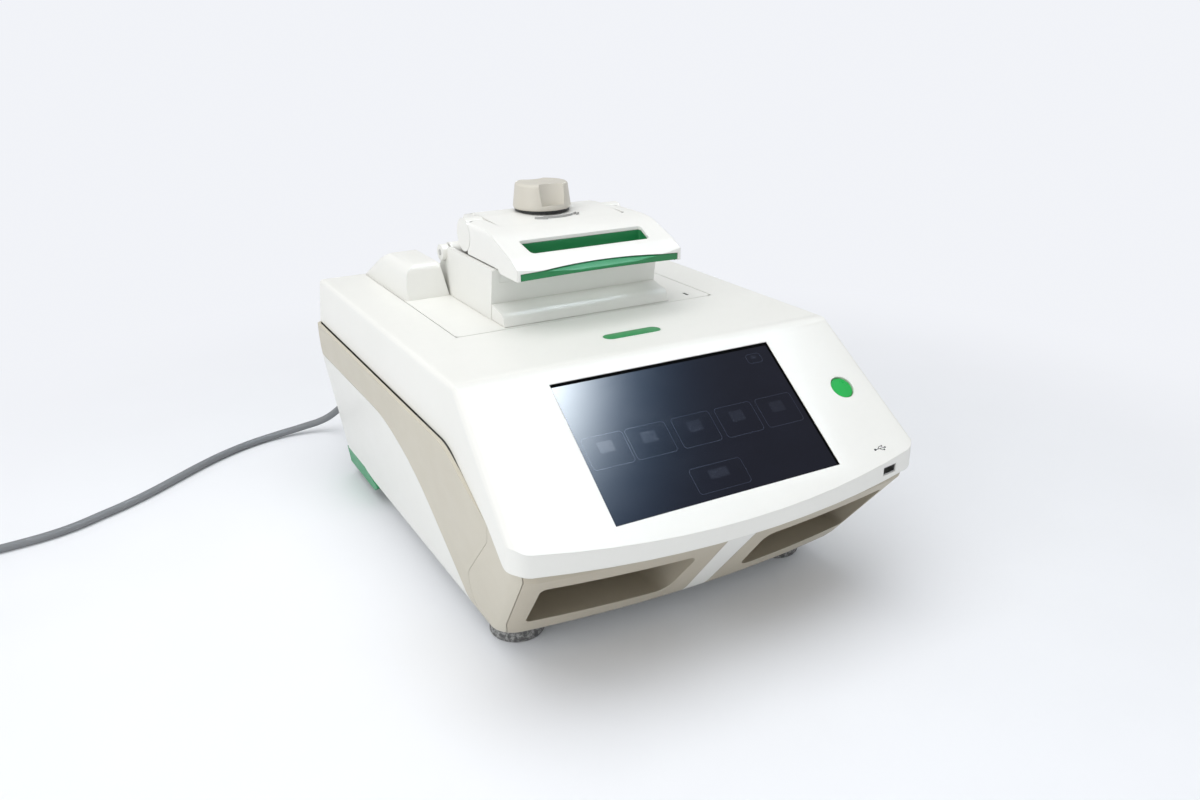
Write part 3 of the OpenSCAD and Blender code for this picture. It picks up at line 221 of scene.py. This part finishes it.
def rubber(name, dark, light, cell=900, rough=0.75, speck=0.5):
    """Moulded rubber with pale and dark specks."""
    g = Graph(name)
    specks = g.noise(cell, 2, 0.7, kind="ShaderNodeTexVoronoi")
    patch = g.noise(cell * 0.35, 4, 0.7)
    tint = g.mix(g.spread(patch, 0, 1, 0.42, 0.6), dark, light)
    g.color(g.mix(g.spread(specks, speck, 0, 0.18, 0.5), tint, scaled(dark, 0.35)))
    g.rough(g.spread(patch, rough - 0.08, rough + 0.08))
    g.bump(patch, 0.5, 0.0004, g.rounding(0.0006))
    return g.mat


def board():
    """Green circuit board with paler tracks."""
    g = Graph("board_green")
    tracks = g.noise(260, 1, 0.3, kind="ShaderNodeTexVoronoi")
    tint = g.mix(g.spread(tracks, 0, 1, 0.04, 0.10), (0.05, 0.24, 0.10), (0.012, 0.10, 0.04))
    g.color(g.mix(g.spread(g.noise(60), 0, 0.3), tint, (0.02, 0.06, 0.03)))
    g.rough(g.spread(g.noise(90), 0.35, 0.55))
    g.bump(tracks, 0.2, 0.0002)
    return g.mat


WHITE = (0.80, 0.80, 0.765)
BEIGE = (0.58, 0.545, 0.455)
M = {
    "housing": moulded("housing_white", WHITE, 0.40, 0.06, 0.02),
    "lid": moulded("lid_white", (0.82, 0.82, 0.79), 0.34, 0.05, 0.018, round_mm=0.8),
    "trim": moulded("trim_beige", BEIGE, 0.5, 0.10, 0.04, warm=(0.6, 0.55, 0.48)),
    "bezel": moulded("bezel_beige", (0.475, 0.43, 0.345), 0.5, 0.10, 0.04, dust_and_shade=0.3,
                     warm=(0.45, 0.38, 0.30)),
    "knob": moulded("knob_beige", (0.60, 0.57, 0.50), 0.38, 0.08, 0.04, warm=(0.55, 0.5, 0.42), round_mm=1.0),
    "rear": moulded("rear_paint", (0.62, 0.62, 0.59), 0.5, 0.3, 0.03, round_mm=0.4, cell=900),
    "skirt": moulded("skirt_green", (0.045, 0.31, 0.14), 0.42, 0.08, 0.06, warm=(0.5, 0.6, 0.5)),
    "grip": moulded("handle_green", (0.014, 0.20, 0.064), 0.36, 0.10, 0.06, warm=(0.4, 0.5, 0.4)),
    "button": moulded("button_green", (0.008, 0.40, 0.065), 0.30, 0.06, 0.05,
                      warm=(0.4, 0.5, 0.4), round_mm=1.0),
    "foot": rubber("foot_rubber", (0.10, 0.10, 0.10), (0.36, 0.36, 0.35)),
    "black_rubber": rubber("black_rubber", (0.008, 0.008, 0.008), (0.02, 0.02, 0.02)),
    # Black plastic, also used as painted shade in the gap round the knob
    "black": moulded("black_plastic", (0.022, 0.022, 0.023), 0.42, 0.15, 0.2, dust_and_shade=0.0, warm=(1, 1, 1)),
    "gloss": moulded("black_gloss", (0.008, 0.008, 0.009), 0.15, 0.02, 0.2, dust_and_shade=0.0, warm=(1, 1, 1)),
    "board": board(),
    "steel": metal("bright_steel", (0.62, 0.62, 0.61), 0.28, brush=(0.1, 6, 6)),
    "sheet": metal("zinc_sheet", (0.52, 0.53, 0.53), 0.42),
    "alu": metal("machined_aluminium", (0.72, 0.73, 0.74), 0.34, brush=(0.06, 5, 5)),
    "block": metal("block_metal", (0.78, 0.78, 0.77), 0.30, brush=(5, 0.06, 5)),
    "ceramic": moulded("ceramic", (0.80, 0.80, 0.77), 0.55, 0.1, 0.03),
    "cord": moulded("cord_grey", (0.20, 0.21, 0.22), 0.5, 0.25, 0.12, dust_and_shade=0.1,
                    warm=(0.6, 0.6, 0.6), cell=2500),
    "lcd": metal("lcd_frame", (0.10, 0.10, 0.11), 0.4),
}


def glass():
    """Dark touch glass: nearly black, a little bluer over the display, with painted shadow as a matt black
    band along two edges.
    """
    g = Graph("display_glass", IOR=1.43)
    sep = g.add("ShaderNodeSeparateXYZ")
    g.link(g.coord, sep.inputs["Vector"])
    # Distance down the slope, from its top bend
    forward = g.math("SUBTRACT", BEND_Y * MM, sep.outputs["Y"])
    lower = g.math("SUBTRACT", DECK * MM, sep.outputs["Z"])
    down = g.math("ADD", g.math("MULTIPLY", forward, math.cos(SLOPE)),
                  g.math("MULTIPLY", lower, math.sin(SLOPE)))
    top = (GLASS_MID - GLASS_H / 2 + SHADOW_BAND_TOP) * MM
    right = (GLASS_W / 2 - SHADOW_BAND_RIGHT) * MM
    below, left = g.math("GREATER_THAN", down, top), g.math("LESS_THAN", sep.outputs["X"], right)
    unshadowed = g.math("MULTIPLY", below, left)
    cloud = g.spread(g.noise(14, 3), 0, 1)
    display = g.mix(cloud, (0.0035, 0.004, 0.0095), (0.0055, 0.0062, 0.014))
    # Painted shadow: near-black along the top and right edges of the glass
    g.color(g.mix(unshadowed, (0.001, 0.001, 0.001), display))
    smear = g.noise(28, 5, 0.6, stretch=(1, 2.2, 1))
    g.rough(g.math("ADD", g.spread(smear, 0.07, 0.12), g.spread(unshadowed, 0.6, 0, 0, 1)))
    # The band along the top and right edges is painted shadow of the recess and mirrors nothing
    g.link(g.spread(unshadowed, 0.03, 0.5, 0, 1), g.bsdf.inputs["Specular IOR Level"])
    g.bump(g.noise(5, 2), 0.02, 0.002)
    return g.mat


M["glass"] = glass()

FINISH = {
    "housing": "upper_housing base_shell module_cover block_housing lid_frame",
    "lid": "lid_cover lid_lever",
    "trim": "side_strip_left side_strip_right corner_cap_left corner_cap_right",
    "bezel": "intake_bezel_left intake_bezel_right",
    "knob": "knob", "rear": "rear_panel", "skirt": "rear_skirt", "grip": "lever_grip",
    "button": "power_button",
    "foot": "feet", "black_rubber": "display_gasket", "glass": "touch_glass", "lcd": "lcd_panel",
    "board": "main_board button_board", "gloss": "status_window",
    "black": "power_inlet power_rocker fan_frame_left fan_frame_right fan_rotor_left fan_rotor_right"
             " cord_connector cord_plug",
    "steel": "foot_screws usb_socket button_spring data_ports hinge_pin pivot_pins knob_spindle guide_posts",
    "sheet": "bay_tray power_supply", "alu": "heat_sink sink_spacers heater_plate", "block": "sample_block",
    "ceramic": "peltier_elements", "cord": "cord cord_coil",
}


def smoothing():
    """Node group that welds a CAD node's facets and smooths them up to a limit angle."""
    group = bpy.data.node_groups.new("weld_and_smooth", "GeometryNodeTree")
    group.interface.new_socket("Geometry", in_out="INPUT", socket_type="NodeSocketGeometry")
    group.interface.new_socket("Geometry", in_out="OUTPUT", socket_type="NodeSocketGeometry")
    make = group.nodes.new
    start, end = make("NodeGroupInput"), make("NodeGroupOutput")
    drop = make("GeometryNodeRemoveAttribute")
    drop.inputs["Name"].default_value = "custom_normal"
    weld = make("GeometryNodeMergeByDistance")
    weld.inputs["Distance"].default_value = 1e-5
    soft, sharp = make("GeometryNodeSetShadeSmooth"), make("GeometryNodeSetShadeSmooth")
    sharp.domain = "EDGE"
    sharp.inputs["Shade Smooth"].default_value = False
    angle, over = make("GeometryNodeInputMeshEdgeAngle"), make("FunctionNodeCompare")
    over.data_type, over.operation = "FLOAT", "GREATER_THAN"
    over.inputs["B"].default_value = math.radians(28)
    link = group.links.new
    link(start.outputs[0], drop.inputs["Geometry"])
    link(drop.outputs["Geometry"], weld.inputs["Geometry"])
    link(weld.outputs["Geometry"], soft.inputs["Geometry"])
    link(soft.outputs["Geometry"], sharp.inputs["Geometry"])
    link(angle.outputs["Unsigned Angle"], over.inputs["A"])
    link(over.outputs["Result"], sharp.inputs["Selection"])
    link(sharp.outputs["Geometry"], end.inputs[0])
    return group


SMOOTH = smoothing()
for key, names in FINISH.items():
    for name in names.split():
        node = nodes[name]
        node.data.materials.clear()
        node.data.materials.append(M[key])
        node.modifiers.new("smooth", "NODES").node_group = SMOOTH
missing = set(nodes) - {n for names in FINISH.values() for n in names.split()}
assert not missing, missing


# Mesh helpers, in millimetres

def obj_of(name, verts, faces, mat, body, smooth=True):
    mesh = bpy.data.meshes.new(name)
    mesh.from_pydata([Vector(v) * MM for v in verts], [], faces)
    bm = bmesh.new()
    bm.from_mesh(mesh)
    bmesh.ops.remove_doubles(bm, verts=bm.verts, dist=1e-6)
    bmesh.ops.recalc_face_normals(bm, faces=bm.faces)
    bm.to_mesh(mesh)
    bm.free()
    mesh.materials.append(M[mat])
    obj = bpy.data.objects.new(name, mesh)
    scene.collection.objects.link(obj)
    if smooth:
        obj.modifiers.new("smooth", "NODES").node_group = SMOOTH
    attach(obj, body)
    return obj


class Soup:
    """Vertices and faces of one piece, gathered shape by shape."""

    def __init__(self):
        self.v, self.f = [], []

    def add(self, verts, faces):
        n = len(self.v)
        self.v += [tuple(p) for p in verts]
        self.f += [tuple(n + i for i in f) for f in faces]
        return self

    def prism(self, outline, place, low, high):
        """An outline in u and v, from w=low to w=high; place(u, v, w) gives the point."""
        n = len(outline)
        verts = [place(u, v, w) for w in (low, high) for u, v in outline]
        faces = [tuple(range(n)), tuple(range(n, 2 * n))]
        faces += [(i, (i + 1) % n, n + (i + 1) % n, n + i) for i in range(n)]
        return self.add(verts, faces)

    def frame(self, outer, inner, place, low, high):
        """A ring between two outlines of the same count, from w=low to w=high."""
        n = len(outer)
        verts = [place(u, v, w) for w in (low, high) for line in (outer, inner) for u, v in line]
        faces = []
        for i in range(n):
            j = (i + 1) % n
            faces += [(i, j, n + j, n + i), (2 * n + i, 2 * n + j, 3 * n + j, 3 * n + i),
                      (i, j, 2 * n + j, 2 * n + i), (n + i, n + j, 3 * n + j, 3 * n + i)]
        return self.add(verts, faces)

    def lathe(self, profile, place, sides=48):
        """A profile of (radius, w) turned about w."""
        n = len(profile)
        verts = [place(r * math.cos(2 * math.pi * k / sides), r * math.sin(2 * math.pi * k / sides), w)
                 for k in range(sides) for r, w in profile]
        faces = [(k * n + i, k * n + i + 1, (k + 1) % sides * n + i + 1, (k + 1) % sides * n + i)
                 for k in range(sides) for i in range(n - 1)]
        for end in (0, n - 1):
            if profile[end][0] > 1e-6:
                faces.append(tuple(k * n + end for k in range(sides)))
        return self.add(verts, faces)

    def make(self, name, mat, body, slot=None, bevel=0, smooth=True):
        obj = obj_of(name, self.v, self.f, mat, body, smooth and not bevel)
        if bevel:
            mod = obj.modifiers.new("bevel", "BEVEL")
            mod.width, mod.segments, mod.limit_method = bevel * MM, 3, "ANGLE"
            mod.angle_limit = math.radians(30)
            obj.modifiers.new("smooth", "NODES").node_group = SMOOTH
        return obj


def rounded_rect(w, h, r, cx=0, cy=0, n=6):
    out = []
    for sx, sy, start in ((1, 1, 0), (-1, 1, 90), (-1, -1, 180), (1, -1, 270)):
        for k in range(n + 1):
            a = math.radians(start + 90 * k / n)
            out.append((cx + sx * (w / 2 - r) + r * math.cos(a), cy + sy * (h / 2 - r) + r * math.sin(a)))
    return out


def circle(r, n=32, cx=0, cy=0):
    turns = [2 * math.pi * k / n for k in range(n)]
    return [(cx + r * math.cos(a), cy + r * math.sin(a)) for a in turns]


def on_panel(x, s, w):
    """A point on the screen slope: across, down the slope, outward."""
    y = BEND_Y - s * math.cos(SLOPE) - w * math.sin(SLOPE)
    z = DECK - s * math.sin(SLOPE) + w * math.cos(SLOPE)
    return (x, y, z)


def flat(z=0):
    """Places an outline level, at height z."""
    return lambda u, v, w: (u, v, z + w)


# Small details

def bar(points, wide):
    """Outline of a straight bar between two points."""
    (x0, y0), (x1, y1) = points
    n = math.hypot(x1 - x0, y1 - y0)
    dx, dy = (y0 - y1) / n * wide / 2, (x1 - x0) / n * wide / 2
    return [(x0 + dx, y0 + dy), (x0 - dx, y0 - dy), (x1 - dx, y1 - dy), (x1 + dx, y1 + dy)]


def screen_marks():
    """Faint generic tiles of the idle screen, printed under the glass's surface."""
    lines, blocks = Soup(), Soup()

    def place(u, v, w):
        return on_panel(u, v, w - GLASS_SINK)
    # Middle of each tile, across and down the slope, and its width and height
    tiles = [(x, 72, 33, 26) for x in (-75, -40.7, -2.7, 34.5, 71.2)]
    tiles += [(-3.5, 111, 44, 21), (75.5, 24.5, 14, 9)]
    for x, y, w, h in tiles:
        outer, inner = rounded_rect(w, h, 3, x, y), rounded_rect(w - 1.3, h - 1.3, 2.4, x, y)
        lines.frame(outer, inner, place, -0.04, 0.03)
        blocks.prism(rounded_rect(w * 0.36, h * 0.34, 1.2, x, y - h * 0.12), place, -0.04, 0.025)
    lines.make("screen_tile_lines", "tile_line", "chassis", "display_glass", smooth=False)
    blocks.make("screen_tiles", "tile", "chassis", "display_glass", smooth=False)


def deck_pill():
    """Plain green pill with a pale rim, on the deck above the screen."""
    x, y, w, h, n = 2.5, -70, 50, 12.5, 10
    pill = Soup().prism(rounded_rect(w, h, 6.2, x, y, n), flat(DECK), -0.3, 0.25)
    pill.make("deck_pill", "pill", "chassis", "button_green", bevel=0.12)
    outer, inner = rounded_rect(w + 2, h + 2, 7.2, x, y, n), rounded_rect(w + 0.2, h + 0.2, 6.3, x, y, n)
    rim = Soup().frame(outer, inner, flat(DECK), -0.3, 0.12)
    rim.make("deck_pill_rim", "lid", "chassis", "housing_white", smooth=False)


def port_sign():
    """Branching port symbol above the socket, a generic sign."""
    x, s = 134.5, 123.8

    def place(u, v, w):
        return on_panel(x + u, s - v, w)
    sign = Soup()
    stem = ((-5.2, 0), (4.2, 0))
    upper = ((-2.6, 0), (-0.6, 1.7)), ((-0.6, 1.7), (1.6, 1.7))
    lower = ((-0.9, 0), (0.9, -1.6)), ((0.9, -1.6), (2.4, -1.6))
    for line in (stem, *upper, *lower):
        sign.prism(bar(line, 0.45), place, -0.2, 0.08)
    sign.prism(circle(0.95, 20, -5.2, 0), place, -0.2, 0.08)
    sign.prism([(3.9, -0.95), (5.7, 0), (3.9, 0.95)], place, -0.2, 0.08)
    sign.prism([(1.5, 1.1), (2.7, 1.1), (2.7, 2.3), (1.5, 2.3)], place, -0.2, 0.08)
    sign.prism(circle(0.7, 16, 2.8, -1.6), place, -0.2, 0.08)
    sign.make("port_sign", "ink", "chassis", "black_gloss", smooth=False)


def lid_scale():
    """Turning scale printed on the cover in front of the knob: a thin arc, a start mark and two end bars."""
    scale = Soup()
    low, high = LID_TOP - 3.0, LID_TOP + 0.12

    def at(angle, r):
        return (r * math.cos(math.radians(angle)), KNOB_Y + r * math.sin(math.radians(angle)))
    for a in range(246, 296, 5):
        scale.prism(bar((at(a, 33), at(a + 5, 33)), 0.4), flat(), low, high)
    for a in range(234, 252, 6):
        scale.prism(bar((at(a, 35.5), at(a + 6, 35.5)), 0.8), flat(), low, high)
    for r in (32.6, 35.4):
        scale.prism(bar((at(299, r), at(306, r)), 0.9), flat(), low, high)
    scale.make("lid_scale", "grey_ink_and_seam_shade", "lid", "black_gloss", smooth=False)


def cover_seam_shade():
    """Grey strips set in the seam in front of the cover and along its sides, with a grey block in a notch at
    one corner: painted shade of the seam and the notch.
    """
    seam = Soup()
    low, high = LID_TOP - 5, LID_TOP - 3.2
    ends = (-COVER_X - 0.5, COVER_Y - 0.15), (COVER_X + 0.5, COVER_Y - 0.15)
    # Painted shade: grey strips where the seam holds only shadow
    seam.prism(bar(ends, 0.7), flat(), low, high)
    for x in (-COVER_X - 0.2, COVER_X + 0.2):
        seam.prism(bar(((x, COVER_Y - 0.3), (x, COVER_Y + 56)), 0.8), flat(), low, high)
    seam.prism(rounded_rect(1.6, 1.3, 0.3, COVER_X, COVER_Y + 0.1), flat(), low, LID_TOP - 1.6)
    seam.make("cover_seam_shade", "grey_ink_and_seam_shade", "lid", "black_gloss", smooth=False)


def lid_seal():
    """Pale seal on the lowered front wall of the block housing, up to the closed lid."""
    low, high, thick, top = 231, 244.6, 3.2, TOWER_TOP - DECK

    def place(u, v, w):
        return (u, TOWER_FRONT - TOWER_LEAN * (v - DECK) / top + 0.15 + w, v)
    outline = [(-SEAL_X, low), (SEAL_X, low), (SEAL_X, high), (-SEAL_X, high)]
    Soup().prism(outline, place, 0, thick).make("lid_seal", "housing", "module", "housing_white", bevel=0.4)


def knob_ring():
    """Black ring in the gap between the knob and the cover: painted shade of the gap."""
    inner, outer, low, high = 19.6, 23.6, LID_TOP + 0.5, LID_TOP + 2.4
    ring = Soup().lathe([(inner, low), (outer, low), (outer, high), (inner, high)],
                        lambda u, v, w: (u, KNOB_Y + v, w))
    # Painted shade: a black ring where the gap holds only shadow
    ring.make("knob_gap_shade_ring", "black", "lid", "black_plastic", smooth=False)


M["tile_line"] = printed("screen_tile_line", (0.015, 0.018, 0.032), 0.14, 0.01, 0.2)
M["tile"] = printed("screen_tile", (0.009, 0.0105, 0.020), 0.14, 0.01, 0.2)
M["pill"] = moulded("pill_green", (0.030, 0.27, 0.085), 0.35, 0.03, 0.05, dust_and_shade=0.05, warm=(0.5, 0.6, 0.5))
M["ink"] = printed("printed_ink", (0.03, 0.03, 0.032), 0.5, 0.05, 0.2)
# Grey print, also used as painted shade in the cover's seam
M["grey_ink_and_seam_shade"] = printed("printed_grey_and_seam_shade", (0.40, 0.40, 0.39), 0.5, 0.05, 0.1)
screen_marks()
deck_pill()
port_sign()
lid_scale()
cover_seam_shade()
lid_seal()
knob_ring()


# Power cord

# The route repeats part.scad's points; the coil's turns follow
ROUTE = [
    (-124, 290.5, 58), (-124, 306, 54), (-126, 322, 42), (-133, 336, 27.5), (-147, 347, 15),
    (-169, 353.5, 8.5), (-197, 354, 5), (-228, 346, 4), (-258, 331, 4), (-285, 313, 4),
    (-312, 292, 4), (-338, 272, 4), (-362, 256, 4), (-384, 244, 4), (-405, 233, 4),
    (-426, 226, 4), (-450, 222, 4), (-475, 220, 4), (-500, 220, 4), (-526, 222, 4),
]
COIL = (-562, 172.8)
CORD_D = 7.5

# Heights of the coil's two layers, and how far a full turn moves in or out
LAYER_1, LAYER_2 = 4.05, 11.85
PITCH = 7.7


def coil_turns():
    """Two turns inward on the bench, a climb, and two turns outward on top of them."""
    points = []
    start, inner, climb, last = 90, 810, 880, 1665
    r_start, r_inner, r_climb = 53.2, 37.8, 36.7

    def at(angle, r, z):
        return (COIL[0] + r * math.cos(math.radians(angle)), COIL[1] + r * math.sin(math.radians(angle)), z)
    for a in range(start + 15, last, 15):
        if a <= inner:
            points.append(at(a, r_start - PITCH * (a - start) / 360, LAYER_1))
        elif a < climb:
            t = (a - inner) / (climb - inner)
            points.append(at(a, r_inner - 1.1 * t, LAYER_1 + 7.8 * t * t * (3 - 2 * t)))
        else:
            points.append(at(a, r_climb + PITCH * (a - climb) / 360, LAYER_2))
    tail = at(last, r_climb + PITCH * (last - climb) / 360, LAYER_2)
    lead = [(tail[0] + d * 0.7071, tail[1] - d * 0.7071, LAYER_2 - 0.55 * d / 30) for d in (10, 20, 30)]
    return points + [tail] + lead


def cord():
    path = ROUTE + [(-544, 225, LAYER_1)] + coil_turns()
    data = bpy.data.curves.new("mains_lead", "CURVE")
    data.dimensions = "3D"
    spline = data.splines.new("BEZIER")
    spline.bezier_points.add(len(path) - 1)
    for point, p in zip(spline.bezier_points, path):
        point.co = Vector(p) * MM
        point.handle_left_type = point.handle_right_type = "AUTO"
    spline.resolution_u = 6
    data.bevel_depth = CORD_D / 2 * MM
    data.bevel_resolution = 6
    data.use_fill_caps = True
    data.materials.append(M["cord"])
    obj = bpy.data.objects.new("mains_lead", data)
    scene.collection.objects.link(obj)
    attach(obj, "chassis")
    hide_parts("cord", "cord_coil")
    total = sum((Vector(a) - Vector(b)).length for a, b in zip(path, path[1:])) * MM
    print("cord length", round(total, 4))


cord()


# Floor and light

BACKDROP = (0.885, 0.90, 0.94)
# Distances from the object at which the floor starts and ends its change to the backdrop, in metres
FADE_START, FADE_END = 0.36, 0.90
# Middle of the window's reflection on its card
WINDOW = (-0.39, 0.03)


def sheet(name, half_w, half_d, z, mat):
    """A level rectangle of the stage."""
    mesh = bpy.data.meshes.new(name)
    corners = [(-half_w, -half_d, z), (half_w, -half_d, z), (half_w, half_d, z), (-half_w, half_d, z)]
    mesh.from_pydata(corners, [], [(0, 1, 2, 3)])
    mesh.materials.append(mat)
    obj = bpy.data.objects.new(name, mesh)
    scene.collection.objects.link(obj)
    return obj


def window_card():
    """A window's reflection overhead, seen only in glossy surfaces: bright core, bluish skirt, faint glow."""
    g = Graph("window_card")
    sep = g.add("ShaderNodeSeparateXYZ")
    g.link(g.coord, sep.inputs["Vector"])

    def glow(reach, color):
        """Light that falls off from the window's middle, as a colour."""
        terms = [g.math("POWER", g.math("DIVIDE", g.math("SUBTRACT", sep.outputs[axis], middle), far), 2)
                 for axis, middle, far in zip("XY", WINDOW, reach)]
        fall = g.math("EXPONENT", g.math("MULTIPLY", g.math("ADD", *terms), -1))
        return g.mix(fall, (0, 0, 0), color)
    light = g.mix(1, glow((0.165, 0.27), (38, 40, 40)), glow((0.30, 0.46), (2.2, 4.4, 7.6)), "ADD")
    light = g.mix(1, light, (0.33, 0.34, 0.37), "ADD")
    lamp = g.add("ShaderNodeEmission")
    g.link(light, lamp.inputs["Color"])
    g.link(lamp.outputs[0], g.tree.nodes["Material Output"].inputs["Surface"])
    card = sheet("window_card", 1.2, 0.9, 2.0, g.mat)
    card.location = (1.05, -0.25, 0)
    card.visible_camera = card.visible_diffuse = card.visible_shadow = card.visible_transmission = False


def floor():
    """Pale floor that takes the backdrop's colour away from the object, so that no horizon shows."""
    g = Graph("floor_paint")
    g.color(g.mix(g.spread(g.noise(3, 4), 0, 1), (0.835, 0.85, 0.88), (0.855, 0.87, 0.90)))
    g.rough(g.spread(g.noise(12, 4), 0.5, 0.62))
    length = g.add("ShaderNodeVectorMath", operation="LENGTH")
    g.link(g.coord, length.inputs[0])
    ends = g.add("ShaderNodeMapRange", interpolation_type="SMOOTHSTEP")
    g.link(length.outputs["Value"], ends.inputs["Value"])
    ends.inputs["From Min"].default_value = FADE_START
    ends.inputs["From Max"].default_value = FADE_END
    far = g.add("ShaderNodeEmission")
    far.inputs["Color"].default_value = (*BACKDROP, 1)
    either = g.add("ShaderNodeMixShader")
    g.link(ends.outputs["Result"], either.inputs["Fac"])
    g.link(g.bsdf.outputs[0], either.inputs[1])
    g.link(far.outputs[0], either.inputs[2])
    g.link(either.outputs[0], g.tree.nodes["Material Output"].inputs["Surface"])
    sheet("floor", 30, 30, 0, g.mat)


def surroundings():
    """Even soft light from all round; the camera sees the backdrop's colour instead."""
    world = bpy.data.worlds.new("studio")
    scene.world = world
    world.use_nodes = True
    tree = world.node_tree
    out, back = tree.nodes["World Output"], tree.nodes["Background"]
    back.inputs["Color"].default_value = (0.97, 0.985, 1.0, 1)
    back.inputs["Strength"].default_value = 0.53
    seen = tree.nodes.new("ShaderNodeBackground")
    seen.inputs["Color"].default_value = (*BACKDROP, 1)
    seen.inputs["Strength"].default_value = 1.0
    path, mix = tree.nodes.new("ShaderNodeLightPath"), tree.nodes.new("ShaderNodeMixShader")
    either = tree.nodes.new("ShaderNodeMath")
    either.operation = "MAXIMUM"
    tree.links.new(path.outputs["Is Camera Ray"], either.inputs[0])
    tree.links.new(path.outputs["Is Transmission Ray"], either.inputs[1])
    tree.links.new(either.outputs[0], mix.inputs["Fac"])
    tree.links.new(back.outputs[0], mix.inputs[1])
    tree.links.new(seen.outputs[0], mix.inputs[2])
    tree.links.new(mix.outputs[0], out.inputs["Surface"])


def area(name, place, aim, size, power, glossy=True):
    """A rectangular lamp aimed at a point."""
    data = bpy.data.lights.new(name, "AREA")
    data.shape, data.size, data.size_y = "RECTANGLE", size[0], size[1]
    data.energy = power
    obj = bpy.data.objects.new(name, data)
    scene.collection.objects.link(obj)
    obj.location = place
    obj.rotation_euler = (Vector(aim) - Vector(place)).to_track_quat("-Z", "Y").to_euler()
    obj.visible_glossy = glossy


def studio():
    floor()
    surroundings()
    area("overhead", (-0.45, -0.1, 2.0), (-0.1, 0, 0), (2.0, 2.2), 28, glossy=False)
    area("side_fill", (-2.2, -0.6, 1.1), (0, 0, 0.1), (1.4, 1.4), 15)
    area("front_fill", (0.5, -2.3, 0.55), (0, 0, 0.2), (1.6, 0.8), 3, glossy=False)
    window_card()


studio()
